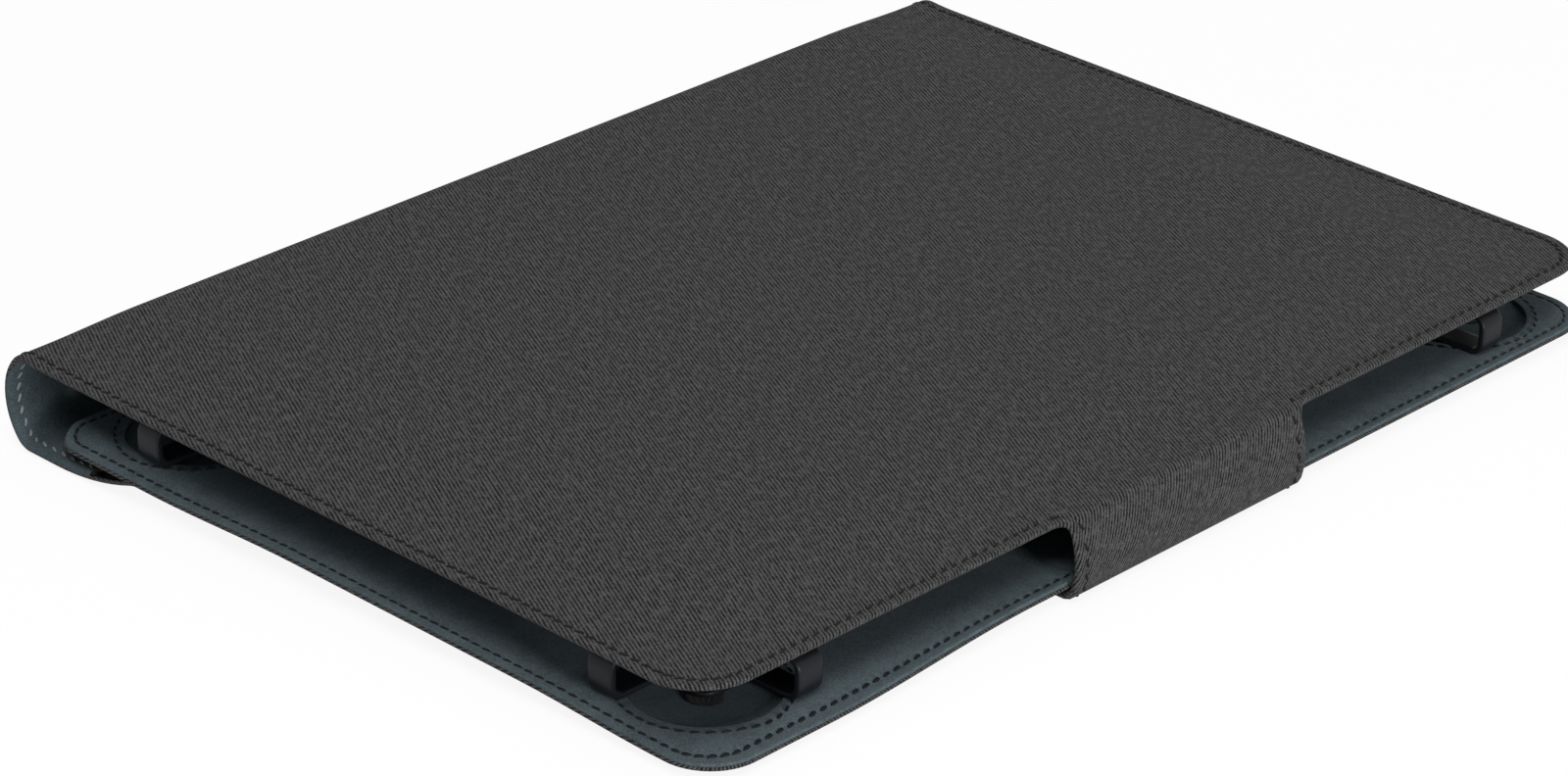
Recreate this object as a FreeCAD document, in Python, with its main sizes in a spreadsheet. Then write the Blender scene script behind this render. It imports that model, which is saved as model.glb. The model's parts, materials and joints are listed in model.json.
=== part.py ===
import FreeCAD
import Part
import os
import re

# Tablet keyboard case, closed: a cloth folio with a keyboard inside its cover.
# +X runs along the spine, +Y from the opening edge to the spine, +Z up.
# The origin is under the middle of the closed case, on the table.

SIZES = {
    # Cover: cloth, board and lining
    "case_length": 253.4,
    "cover_width": 185.0,
    "cover_height": 18.9,
    "cover_thickness": 2.4,
    "cover_corner": 15.0,
    "cover_suede": 0.5,
    "fold_gap": 2.0,
    "cloth": 0.5,
    # Back panel that carries the tablet
    "panel_overhang": 1.0,
    "panel_setback": 13.0,
    "panel_height": 5.1,
    "panel_board": 0.9,
    "panel_suede": 0.6,
    "panel_front_corner": 15.0,
    "panel_back_corner": 8.0,
    "suede_inset": 0.4,
    "catch_length": 60.0,
    "catch_width": 12.0,
    "catch_thickness": 0.4,
    "catch_inset": 4.0,
    # Round cut-outs in the lining, with a sunk patch under each
    "cutout_radius": 14.0,
    "cutout_inset": 20.5,
    "cutout_from_front": 19.8,
    "cutout_from_back": 17.7,
    "recess_margin": 0.5,
    "recess_depth": 0.4,
    "patch_thickness": 0.2,
    "patch_gap": 0.05,
    "elastic_width": 7.0,
    "elastic_thickness": 0.45,
    "elastic_tail": 13.5,
    "elastic_head": 6.0,
    "elastic_gap": 0.03,
    # Corner grips
    "grip_gap": 0.1,
    "grip_plate": 1.1,
    "hub_radius": 4.0,
    "hub_drop": 0.32,
    "hook_reach": 16.4,
    "hook_offset": 9.7,
    "hook_width": 6.1,
    "hook_wall": 1.8,
    "hook_clear": 6.7,
    "hook_lip": 3.6,
    "hook_lip_thickness": 1.2,
    "hook_round": 1.0,
    "back_grip_shift": 5.0,
    # Spine: one wide curve with a tighter bend into the back flap
    "spine_bulge": 2.4,
    "spine_radius": 13.6,
    "spine_centre_height": 10.6,
    "spine_top_angle": 39.0,
    "spine_bend": 5.0,
    "spine_bend_end": 80.0,
    "spine_board": 0.8,
    "spine_suede": 0.6,
    "spine_board_inset": 1.5,
    # Back flap from the spine to the crease under the panel
    "flap_gap": 0.15,
    "flap_length": 32.9,
    "flap_slope": 7.6,
    "flap_board": 0.8,
    "flap_suede": 0.6,
    "flap_stiff_length": 20.0,
    # Closing strap and its tab
    "strap_width": 67.7,
    "strap_offset": -1.85,
    "strap_bulge": 3.6,
    "strap_radius": 18.05,
    "strap_centre_height": 10.5,
    "strap_cloth_angle": 32.0,
    "strap_suede_angle": 26.0,
    "strap_low_angle": 17.1,
    "strap_suede": 1.0,
    "tab_length": 17.8,
    "tab_out": 2.9,
    "tab_gap": 0.2,
    "tab_core": 0.7,
    "tab_suede": 0.4,
    "tab_corner": 8.0,
    "magnet_length": 22.0,
    "magnet_width": 8.0,
    "magnet_spread": 34.0,
    "magnet_inset": 9.5,
    # Keyboard housing
    "keyboard_length": 226.0,
    "keyboard_depth": 112.0,
    "keyboard_front": 13.0,
    "keyboard_thickness": 3.5,
    "keyboard_corner": 6.0,
    "base_wall": 0.8,
    "bezel": 0.8,
    "membrane": 0.3,
    "dome_sheet": 0.25,
    "dome_height": 0.8,
    "dome_radius": 3.0,
    "sheet_margin": 0.4,
    # Keys
    "key_pitch": 15.7,
    "row_pitch": 15.2,
    "function_pitch": 10.0,
    "key_margin": 3.2,
    "key_gap": 2.2,
    "key_corner": 1.3,
    "key_proud": 0.6,
    "key_clearance": 0.25,
    "key_flange": 0.5,
    "key_flange_thickness": 0.4,
    "key_flange_gap": 0.05,
    "key_stem_radius": 1.8,
    "key_stem_gap": 0.02,
    # Electronics in the bar behind the keys
    "bar_middle": 101.0,
    "battery_length": 118.0,
    "battery_width": 14.0,
    "battery_thickness": 1.7,
    "battery_middle": 25.0,
    "board_length": 66.0,
    "board_width": 14.0,
    "board_thickness": 0.6,
    "board_middle": -77.5,
    "chip_size": 8.0,
    "chip_thickness": 0.9,
    "chip_middle": -68.0,
    "small_chip": 4.5,
    "small_chip_middle": -100.0,
    "port_width": 7.6,
    "port_depth": 5.2,
    "port_height": 1.7,
    "port_wall": 0.4,
    "port_clearance": 0.1,
    "lens_radius": 0.9,
    "lens_first": -87.0,
    "lens_pitch": 4.5,
    "lens_length": 1.1,
    "button_radius": 2.2,
    "button_middle": -78.5,
    "button_proud": 0.3,
    "button_stem": 0.3,
    "switch_middle": -57.0,
    "switch_length": 3.6,
    "switch_width": 2.6,
    "switch_travel": 3.0,
    "switch_proud": 0.4,
    "switch_flange": 1.2,
    "switch_flange_thickness": 0.5,
}

UNITS_ACROSS = 14

# Rows of keys from the opening edge to the spine: label, how many, width in key units
SPACE_ROW = [
    ("left_modifier_keys", 4, 1),
    ("space_bar", 1, 5),
    ("right_modifier_keys", 2, 1),
    ("arrow_left_key", 1, 1),
    (None, 1, 1),
    ("arrow_right_key", 1, 1),
]
LETTER_ROWS = [
    SPACE_ROW,
    [("left_shift_key", 1, 2.25), ("lower_letter_keys", 10, 1), ("right_shift_key", 1, 1.75)],
    [("caps_key", 1, 1.75), ("home_letter_keys", 10, 1), ("enter_key", 1, 2.25)],
    [("tab_key", 1, 1.5), ("upper_letter_keys", 11, 1), ("backslash_key", 1, 1.5)],
    [("number_keys", 12, 1), ("backspace_key", 1, 2)],
]
ARROW_STACK_UNIT = 12

doc = FreeCAD.newDocument("tablet_keyboard_case")
sheet = doc.addObject("Spreadsheet::Sheet", "Sizes")
for line, (alias, number) in enumerate(SIZES.items(), 1):
    sheet.set("A%d" % line, alias)
    sheet.set("B%d" % line, str(number))
    sheet.setAlias("B%d" % line, alias)
doc.recompute()

pieces = []


def sized(text):
    """An expression with every size name pointed at the sheet."""
    return re.sub(
        r"[a-z_]+",
        lambda word: "Sizes." + word.group(0) if word.group(0) in SIZES else word.group(0),
        text,
    )


def bind(thing, **sizes):
    """Tie properties to expressions; two underscores stand for a dot in a property's path."""
    for path, text in sizes.items():
        thing.setExpression(path.replace("__", "."), sized(text))


def solid(label):
    """A new body."""
    body = doc.addObject("PartDesign::Body", label)
    body.Label = label
    return body


def piece(label, on_end=False):
    """A new body of the case. On its end, its own X, Y and Z lie along the case's Y, Z and X."""
    body = solid(label)
    if on_end:
        body.Placement = FreeCAD.Placement(
            FreeCAD.Vector(0, 0, 0), FreeCAD.Rotation(FreeCAD.Vector(1, 1, 1), 120)
        )
    pieces.append(body)
    return body


def block(body, x, y, z, cut=False, turn=None):
    """A box between (low, high) expressions, or a cut of that shape, turned about its low corner."""
    kind = "PartDesign::SubtractiveBox" if cut else "PartDesign::AdditiveBox"
    box = body.newObject(kind, "block")
    if turn:
        box.Placement.Rotation = FreeCAD.Rotation(FreeCAD.Vector(0, 0, 1), 1)
        bind(box, Placement__Rotation__Angle=turn)
    bind(
        box,
        Length="(%s) - (%s)" % (x[1], x[0]),
        Width="(%s) - (%s)" % (y[1], y[0]),
        Height="(%s) - (%s)" % (z[1], z[0]),
        Placement__Base__x=x[0],
        Placement__Base__y=y[0],
        Placement__Base__z=z[0],
    )
    return box


def disc(body, centre, z, radius, cut=False, start=None, sweep=None):
    """A round bar along Z at centre (x, y), a sector of one from an angle, or a cut of that shape."""
    kind = "PartDesign::SubtractiveCylinder" if cut else "PartDesign::AdditiveCylinder"
    bar = body.newObject(kind, "disc")
    if sweep:
        bar.Placement.Rotation = FreeCAD.Rotation(FreeCAD.Vector(0, 0, 1), 1)
        bind(bar, Angle=sweep, Placement__Rotation__Angle=start)
    bind(
        bar,
        Radius=radius,
        Height="(%s) - (%s)" % (z[1], z[0]),
        Placement__Base__x=centre[0],
        Placement__Base__y=centre[1],
        Placement__Base__z=z[0],
    )
    return bar


def upright(edge):
    """Is the edge straight and along Z?"""
    return len(edge.Vertexes) == 2 and abs(edge.tangentAt(edge.FirstParameter).z) > NEARLY


def round_edges(body, radius, wanted):
    """Fillet the edges of the body so far that a test picks."""
    doc.recompute()
    base = body.Tip
    names = ["Edge%d" % number for number, edge in enumerate(base.Shape.Edges, 1) if wanted(edge)]
    fillet = body.newObject("PartDesign::Fillet", "round")
    fillet.Base = (base, names)
    bind(fillet, Radius=radius)


def round_upright(body, radius, side=0):
    """Fillet upright edges before (-1) or behind (1) the case's middle, or all of them (0)."""
    round_edges(body, radius, lambda edge: upright(edge) and edge.Vertexes[0].Y * side >= 0)


def hollow(body, wall, *open_sides):
    """Empty the body so far to a wall, leaving out its flat faces on sides named like ZMax."""
    doc.recompute()
    base = body.Tip
    names = []
    for number, face in enumerate(base.Shape.Faces, 1):
        for side in open_sides:
            flat = face.BoundBox
            whole = getattr(base.Shape.BoundBox, side)
            ends = (getattr(flat, side[0] + "Min"), getattr(flat, side[0] + "Max"))
            if all(abs(end - whole) < TINY for end in ends):
                names.append("Face%d" % number)
    shell = body.newObject("PartDesign::Thickness", "hollow")
    shell.Base = (base, names)
    shell.Reversed = True
    bind(shell, Value=wall)


def repeat(body, count, pitch, originals=None):
    """Copies of features, or of the whole body so far, along -X."""
    if count == 1:
        return
    doc.recompute()
    pattern = body.newObject("PartDesign::LinearPattern", "row")
    if originals:
        pattern.Originals = originals
    else:
        pattern.TransformMode = "Whole shape"
    axis = [line for line in body.Origin.OriginFeatures if line.Role == "X_Axis"][0]
    pattern.Direction = (axis, [""])
    pattern.Reversed = True
    pattern.Occurrences = count
    bind(pattern, Length="(%s) * %d" % (pitch, count - 1))
    body.Tip = pattern


def combine(body, other, kind):
    """Fuse another body into a body, or cut it out of it, in one step."""
    boolean = body.newObject("PartDesign::Boolean", "combine")
    boolean.Type = kind
    boolean.addObjects([other])
    body.Tip = boolean


def middle(centre, length):
    """Low and high expressions of a length centred on a place."""
    return ("%s - (%s) / 2" % (centre, length), "%s + (%s) / 2" % (centre, length))


def along(centre, sign, low, high):
    """Low and high expressions of a span counted from a centre, up (1) or down (-1) the axis."""
    if sign > 0:
        return ("%s + (%s)" % (centre, low), "%s + (%s)" % (centre, high))
    return ("%s - (%s)" % (centre, high), "%s - (%s)" % (centre, low))


def rise(low, *heights):
    """Low and high expressions of a layer of given heights on top of a level."""
    return (low, " + ".join((low,) + heights))


def flat_sheet(label, x, y, z, front_corner, back_corner=None):
    """A sheet with rounded corners at the opening edge and, if asked, at the spine edge."""
    body = piece(label)
    block(body, x, y, z)
    round_upright(body, front_corner, -1)
    if back_corner:
        round_upright(body, back_corner, 1)
    return body


NEARLY = 0.999
TINY = 1e-4

# Places that several pieces share
FRONT = "(strap_bulge - spine_bulge - cover_width) / 2"
COVER_END = FRONT + " + cover_width - fold_gap"
PANEL_FRONT = FRONT + " - panel_overhang"
PANEL_BACK = FRONT + " + cover_width - panel_setback"
BOARD_FLOOR = "panel_height + cloth"
BOARD_TOP = BOARD_FLOOR + " + panel_board"
PANEL_TOP = BOARD_TOP + " + panel_suede"
FULL = middle("0", "case_length")
INSIDE = middle("0", "case_length - 2 * cloth")

# Cover: a cloth tray, open at the spine, with its board and lining inside
cover_inner_y = (FRONT + " + cloth", COVER_END)
cover_top = "cover_height + cover_thickness"
under_cloth = cover_top + " - cloth"
cover_inner_corner = "cover_corner - cloth"
cover_twill = flat_sheet(
    "cover_twill", FULL, (FRONT, COVER_END), ("cover_height", cover_top), "cover_corner"
)
hollow(cover_twill, "cloth", "ZMin", "YMax")
lining_top = "cover_height + cover_suede"
flat_sheet("cover_board", INSIDE, cover_inner_y, (lining_top, under_cloth), cover_inner_corner)
flat_sheet("cover_lining", INSIDE, cover_inner_y, ("cover_height", lining_top), cover_inner_corner)

# Back panel: a cloth tray with a board in it and the lining on top
panel_y = (PANEL_FRONT, PANEL_BACK)
panel_inner_y = (PANEL_FRONT + " + cloth", PANEL_BACK + " - cloth")
panel_inner_corners = ("panel_front_corner - cloth", "panel_back_corner - cloth")
panel_twill = flat_sheet(
    "panel_twill",
    FULL,
    panel_y,
    ("panel_height", BOARD_TOP),
    "panel_front_corner",
    "panel_back_corner",
)
hollow(panel_twill, "cloth", "ZMax")

CUTOUT_X = "case_length / 2 - cutout_inset"
CUTOUT_FRONT = PANEL_FRONT + " + cutout_from_front"
CUTOUT_BACK = PANEL_BACK + " - cutout_from_back"
CORNERS = {
    "front_left": (-1, -1),
    "front_right": (1, -1),
    "back_left": (-1, 1),
    "back_right": (1, 1),
}


def cutout_centre(side_x, side_y):
    """The middle of one round cut-out."""
    x = CUTOUT_X if side_x > 0 else "-(%s)" % CUTOUT_X
    return (x, CUTOUT_BACK if side_y > 0 else CUTOUT_FRONT)


RECESS_FLOOR = BOARD_TOP + " - recess_depth"
PATCH_TOP = RECESS_FLOOR + " + patch_thickness"
panel_board = flat_sheet(
    "panel_board", INSIDE, panel_inner_y, (BOARD_FLOOR, BOARD_TOP), *panel_inner_corners
)
catch_x = middle("strap_offset", "catch_length")
catch_y = (PANEL_FRONT + " + catch_inset", PANEL_FRONT + " + catch_inset + catch_width")
catch_z = rise(BOARD_FLOOR, "catch_thickness")
block(panel_board, catch_x, catch_y, catch_z, cut=True)
block(piece("catch_plate"), catch_x, catch_y, catch_z)
panel_lining = flat_sheet(
    "panel_lining",
    middle("0", "case_length - 2 * suede_inset"),
    (PANEL_FRONT + " + suede_inset", PANEL_BACK + " - suede_inset"),
    (BOARD_TOP, PANEL_TOP),
    "panel_front_corner - suede_inset",
    "panel_back_corner - suede_inset",
)
recess_patches = piece("recess_patches")
for side in CORNERS.values():
    spot = cutout_centre(*side)
    disc(panel_board, spot, (RECESS_FLOOR, BOARD_TOP), "cutout_radius + recess_margin", cut=True)
    disc(panel_lining, spot, (BOARD_TOP, PANEL_TOP), "cutout_radius", cut=True)
    disc(
        recess_patches,
        spot,
        (RECESS_FLOOR, PATCH_TOP),
        "cutout_radius + recess_margin - patch_gap",
    )

# Elastic bands: each lies in its recess, from the rim nearest the panel's middle to the grip
for corner, (side_x, side_y) in CORNERS.items():
    spot = cutout_centre(side_x, side_y)
    elastic = piece("elastic_" + corner)
    bearing = {(-1, -1): 225, (1, -1): -45, (-1, 1): 135, (1, 1): 45}[side_x, side_y]
    start = (
        "%s - elastic_tail * cos(%d) + elastic_width / 2 * sin(%d)" % (spot[0], bearing, bearing),
        "%s - elastic_tail * sin(%d) - elastic_width / 2 * cos(%d)" % (spot[1], bearing, bearing),
    )
    low = PATCH_TOP + " + elastic_gap"
    block(
        elastic,
        (start[0], start[0] + " + elastic_tail + elastic_head"),
        (start[1], start[1] + " + elastic_width"),
        rise(low, "elastic_thickness"),
        turn=str(bearing),
    )

# Corner grips: a plate on the lining, a hub in the cut-out and two hooks
GRIP_LOW = PANEL_TOP + " + grip_gap"
GRIP_TOP = GRIP_LOW + " + grip_plate"
LIP_LOW = GRIP_TOP + " + hook_clear"
HOOK_TOP = LIP_LOW + " + hook_lip_thickness"
HOOK_SIDES = ("hook_offset - hook_width / 2", "hook_offset + hook_width / 2")


def grip(corner, side_x, side_y):
    """One grip. Out is away from the panel's middle, in is towards it."""
    body = piece("corner_grip_" + corner)
    x, y = cutout_centre(side_x, side_y)
    if side_y > 0:
        y += " + back_grip_shift"
    plate = (GRIP_LOW, GRIP_TOP)
    inward = ("-hub_radius", HOOK_SIDES[1])
    block(body, along(x, -side_x, *inward), along(y, -side_y, *inward), plate)
    disc(body, (x, y), (GRIP_LOW + " - hub_drop", GRIP_TOP), "hub_radius")
    arm = ("0", "hook_reach")
    wall = ("hook_reach - hook_wall", "hook_reach")
    lip = ("hook_reach - hook_wall - hook_lip", "hook_reach")
    levels = ((arm, plate), (wall, (GRIP_LOW, HOOK_TOP)), (lip, (LIP_LOW, HOOK_TOP)))
    for reach, z in levels:
        block(body, along(x, side_x, *reach), along(y, -side_y, *HOOK_SIDES), z)
        block(body, along(x, -side_x, *HOOK_SIDES), along(y, side_y, *reach), z)
    doc.recompute()
    box = body.Tip.Shape.BoundBox
    outer_x = box.XMax if side_x > 0 else box.XMin
    outer_y = box.YMax if side_y > 0 else box.YMin

    def outer(edge):
        """Is the edge straight, level and on one of the grip's two outer faces?"""
        if len(edge.Vertexes) != 2 or upright(edge):
            return False
        on_x = all(abs(end.X - outer_x) < TINY for end in edge.Vertexes)
        return on_x or all(abs(end.Y - outer_y) < TINY for end in edge.Vertexes)

    round_edges(body, "hook_round", outer)


for corner, (side_x, side_y) in CORNERS.items():
    grip(corner, side_x, side_y)

# Spine: three layers, each a wide arc and a tighter one that meets it without a kink
SPINE_Y = FRONT + " + cover_width + spine_bulge - spine_radius"
KNEE = "asin((spine_centre_height - spine_bend) / (spine_radius - spine_bend))"
BEND_Y = SPINE_Y + " + (spine_radius - spine_bend) * cos(%s)" % KNEE


def spine_layer(label, outside, depth, x):
    """One layer of the spine, a given way in from the outer face."""
    body = piece(label, on_end=True)
    wide = "spine_radius - (%s)" % outside
    tight = "spine_bend - (%s)" % outside
    disc(
        body,
        (SPINE_Y, "spine_centre_height"),
        x,
        wide,
        start="-" + KNEE,
        sweep="spine_top_angle * 1 deg + " + KNEE,
    )
    disc(body, (SPINE_Y, "spine_centre_height"), x, "%s - (%s)" % (wide, depth), cut=True)
    disc(
        body,
        (BEND_Y, "spine_bend"),
        x,
        tight,
        start="-spine_bend_end * 1 deg",
        sweep="spine_bend_end * 1 deg - " + KNEE,
    )
    disc(body, (BEND_Y, "spine_bend"), x, "%s - (%s)" % (tight, depth), cut=True)


spine_layer("spine_twill", "0", "cloth", FULL)
spine_board_x = middle("0", "case_length - 2 * spine_board_inset")
spine_layer("spine_board", "cloth", "spine_board", spine_board_x)
spine_layer("spine_lining", "cloth + spine_board", "spine_suede", FULL)


# Back flap: layers on a slope from the spine's foot up to the crease under the panel
def flap_layer(label, above, depth, length, x):
    """One layer of the flap, a given way above its lower face and ending at the spine."""
    body = piece(label, on_end=True)
    y = BEND_Y + " - flap_gap - (%s) * cos(flap_slope) + (%s) * sin(flap_slope)" % (length, above)
    z = "(%s) * sin(flap_slope) + (%s) * cos(flap_slope)" % (length, above)
    block(
        body,
        (y, "%s + (%s)" % (y, length)),
        (z, "%s + (%s)" % (z, depth)),
        x,
        turn="-flap_slope",
    )


flap_layer("flap_twill", "0", "cloth", "flap_length", FULL)
flap_layer("flap_board", "cloth", "flap_board", "flap_stiff_length", spine_board_x)
flap_layer("flap_lining", "cloth + flap_board", "flap_suede", "flap_stiff_length", FULL)

# Closing strap: it leaves the cover's edge, bulges and ends over the tab
STRAP_X = middle("strap_offset", "strap_width")
STRAP_CENTRE = (FRONT + " - strap_bulge + strap_radius", "strap_centre_height")


def strap_layer(label, outside, depth, top_angle):
    """One layer of the strap, a given way in from its outer face."""
    body = piece(label, on_end=True)
    outer = "strap_radius - (%s)" % outside
    disc(
        body,
        STRAP_CENTRE,
        STRAP_X,
        outer,
        start="180 deg - %s * 1 deg" % top_angle,
        sweep="(%s + strap_low_angle) * 1 deg" % top_angle,
    )
    disc(body, STRAP_CENTRE, STRAP_X, "%s - (%s)" % (outer, depth), cut=True)


strap_layer("strap_twill", "0", "cloth", "strap_cloth_angle")
strap_layer("strap_lining", "cloth", "strap_suede", "strap_suede_angle")

# Tab: a cloth tray with a card, two magnets and a lining, held under the panel
TAB_TOP = "panel_height - tab_gap"
SUEDE_LOW = TAB_TOP + " - tab_suede"
CORE_LOW = SUEDE_LOW + " - tab_core"
tab_y = (FRONT + " - tab_out", FRONT + " - tab_out + tab_length")
tab_inner_x = middle("strap_offset", "strap_width - 2 * cloth")
tab_inner_y = (tab_y[0] + " + cloth", tab_y[1] + " - cloth")


def tab_sheet(label, x, y, z, corner):
    """A layer of the tab, with rounded corners at its free end."""
    body = piece(label)
    block(body, x, y, z)
    doc.recompute()
    end = body.Tip.Shape.BoundBox.YMax
    round_edges(body, corner, lambda edge: upright(edge) and abs(edge.Vertexes[0].Y - end) < TINY)
    return body


tab_twill = tab_sheet("tab_twill", STRAP_X, tab_y, (CORE_LOW + " - cloth", SUEDE_LOW), "tab_corner")
hollow(tab_twill, "cloth", "ZMax")
tab_card = tab_sheet(
    "tab_card", tab_inner_x, tab_inner_y, (CORE_LOW, SUEDE_LOW), "tab_corner - cloth"
)
tab_sheet("tab_lining", STRAP_X, tab_y, (SUEDE_LOW, TAB_TOP), "tab_corner")
tab_magnets = piece("tab_magnets")
for side in (-1, 1):
    magnet_x = middle("strap_offset + magnet_spread / 2 * %d" % side, "magnet_length")
    magnet_y = middle(FRONT + " - tab_out + magnet_inset", "magnet_width")
    block(tab_card, magnet_x, magnet_y, (CORE_LOW, SUEDE_LOW), cut=True)
    block(tab_magnets, magnet_x, magnet_y, (CORE_LOW, SUEDE_LOW))

# Keyboard housing: a base tray on the cover's lining and a bezel over its wall
KEYBOARD_FRONT = FRONT + " + keyboard_front"
KEYBOARD_X = middle("0", "keyboard_length")
KEYBOARD_Y = (KEYBOARD_FRONT, KEYBOARD_FRONT + " + keyboard_depth")
BASE_FLOOR = "cover_height - base_wall"
BEZEL_FACE = "cover_height - keyboard_thickness"
BEZEL_BACK = BEZEL_FACE + " + bezel"
corner_pair = ("keyboard_corner", "keyboard_corner")
keyboard_base = flat_sheet(
    "keyboard_base", KEYBOARD_X, KEYBOARD_Y, (BEZEL_BACK, "cover_height"), *corner_pair
)
hollow(keyboard_base, "base_wall", "ZMin")
THROUGH_BEZEL = (BEZEL_FACE, BEZEL_BACK)
bezel = flat_sheet("keyboard_bezel", KEYBOARD_X, KEYBOARD_Y, THROUGH_BEZEL, *corner_pair)
bezel_holes = solid("bezel_holes")

# Sheets under the keys: printed membrane and rubber domes
KEYS_DEEP = "%d * row_pitch + function_pitch" % len(LETTER_ROWS)
sheet_x = middle("0", "keyboard_length - 2 * base_wall - 2 * sheet_margin")
sheet_y = (
    KEYBOARD_FRONT + " + base_wall + sheet_margin",
    KEYBOARD_FRONT + " + key_margin + " + KEYS_DEEP,
)
MEMBRANE_LOW = BASE_FLOOR + " - membrane"
DOME_BASE = MEMBRANE_LOW + " - dome_sheet"
DOME_TIP = DOME_BASE + " - dome_height"
sheet_corner = "keyboard_corner - base_wall - sheet_margin"
flat_sheet("membrane_circuit", sheet_x, sheet_y, (MEMBRANE_LOW, BASE_FLOOR), sheet_corner)
dome_sheet = flat_sheet("dome_sheet", sheet_x, sheet_y, (DOME_BASE, MEMBRANE_LOW), sheet_corner)
domes = solid("domes")

# Keys: a cap through the bezel, a flange behind it and a stem on its dome
KEY_FACE = BEZEL_FACE + " - key_proud"
FLANGE_LOW = BEZEL_BACK + " + key_flange_gap"
FLANGE_TOP = FLANGE_LOW + " + key_flange_thickness"
STEM_TOP = DOME_TIP + " - key_stem_gap"


def key_x(unit, units):
    """The middle of the first key of a group; the typist's left is at +X."""
    return "(%d / 2 - %s - %s / 2) * key_pitch" % (UNITS_ACROSS, unit, units)


def key_group(label, unit, count, units, y, depth):
    """A row of equal keys, with the bezel's holes and the domes that belong to it."""
    x = key_x(unit, units)
    pitch = "%s * key_pitch" % units
    width = pitch + " - key_gap"
    body = piece(label)
    block(body, middle(x, width), middle(y, depth), (KEY_FACE, FLANGE_LOW))
    round_upright(body, "key_corner")
    flange_x = middle(x, width + " + 2 * key_flange")
    block(body, flange_x, middle(y, depth + " + 2 * key_flange"), (FLANGE_LOW, FLANGE_TOP))
    disc(body, (x, y), (FLANGE_TOP, STEM_TOP), "key_stem_radius")
    repeat(body, count, pitch)
    hole_x = middle(x, width + " + 2 * key_clearance")
    hole_y = middle(y, depth + " + 2 * key_clearance")
    hole = block(bezel_holes, hole_x, hole_y, THROUGH_BEZEL)
    repeat(bezel_holes, count, pitch, [hole])
    dome = disc(domes, (x, y), (DOME_TIP, DOME_BASE), "dome_radius")
    repeat(domes, count, pitch, [dome])


FIRST_ROW = KEYBOARD_FRONT + " + key_margin"
for number, row in enumerate(LETTER_ROWS):
    row_y = FIRST_ROW + " + %s * row_pitch" % (number + 0.5)
    unit = 0
    for label, count, units in row:
        if label:
            key_group(label, unit, count, units, row_y, "row_pitch - key_gap")
        unit += count * units
function_y = FIRST_ROW + " + %d * row_pitch + function_pitch / 2" % len(LETTER_ROWS)
key_group("function_keys", 0, UNITS_ACROSS, 1, function_y, "function_pitch - key_gap")
half_key = "(row_pitch - 2 * key_gap) / 2"
for label, share in (("arrow_down_key", 0.25), ("arrow_up_key", 0.75)):
    key_group(label, ARROW_STACK_UNIT, 1, 1, FIRST_ROW + " + %s * row_pitch" % share, half_key)
combine(dome_sheet, domes, "Fuse")

# Electronics in the bar between the keys and the spine
BAR_Y = KEYBOARD_FRONT + " + bar_middle"
battery_x = middle("battery_middle", "battery_length")
battery_z = (BASE_FLOOR + " - battery_thickness", BASE_FLOOR)
block(piece("battery"), battery_x, middle(BAR_Y, "battery_width"), battery_z)
BOARD_LOW = BASE_FLOOR + " - board_thickness"
board_x = middle("board_middle", "board_length")
controller_board = piece("controller_board")
block(controller_board, board_x, middle(BAR_Y, "board_width"), (BOARD_LOW, BASE_FLOOR))
chips = piece("controller_chips")
for place, side in (("chip_middle", "chip_size"), ("small_chip_middle", "small_chip")):
    chip_z = (BOARD_LOW + " - chip_thickness", BOARD_LOW)
    block(chips, middle(place, side), middle(BAR_Y, side), chip_z)

# Charging port: a metal shell in a notch of the board, open through the base's wall
PORT_X = ("-keyboard_length / 2", "-keyboard_length / 2 + port_depth")
port_z = (BEZEL_BACK + " + port_clearance", BEZEL_BACK + " + port_clearance + port_height")
port_mouth_y = middle(BAR_Y, "port_width - 2 * port_wall")
port_mouth_z = (port_z[0] + " + port_wall", port_z[1] + " - port_wall")
charging_port = piece("charging_port")
block(charging_port, PORT_X, middle(BAR_Y, "port_width"), port_z)
mouth_x = (PORT_X[0], PORT_X[1] + " - port_wall")
block(charging_port, mouth_x, port_mouth_y, port_mouth_z, cut=True)
wall_x = ("-keyboard_length / 2", "-keyboard_length / 2 + base_wall")
notch_x = (PORT_X[0], PORT_X[1] + " + port_clearance")
notch_y = middle(BAR_Y, "port_width + 2 * port_clearance")
block(keyboard_base, wall_x, notch_y, (BEZEL_BACK, BASE_FLOOR), cut=True)
block(controller_board, notch_x, notch_y, (BOARD_LOW, BASE_FLOOR), cut=True)

# Status lenses, pairing button and power switch in the bezel
lenses = piece("status_lenses")
for number in range(3):
    lens_spot = ("lens_first - %d * lens_pitch" % number, BAR_Y)
    disc(bezel_holes, lens_spot, THROUGH_BEZEL, "lens_radius")
    disc(lenses, lens_spot, rise(BEZEL_FACE, "lens_length"), "lens_radius")

button = piece("pairing_button")
button_spot = ("button_middle", BAR_Y)
disc(bezel_holes, button_spot, THROUGH_BEZEL, "button_radius + key_clearance")
disc(button, button_spot, (BEZEL_FACE + " - button_proud", FLANGE_LOW), "button_radius")
disc(button, button_spot, (FLANGE_LOW, FLANGE_TOP), "button_radius + key_flange + key_clearance")
disc(button, button_spot, rise(FLANGE_TOP, "button_stem"), "button_radius / 2")

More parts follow.
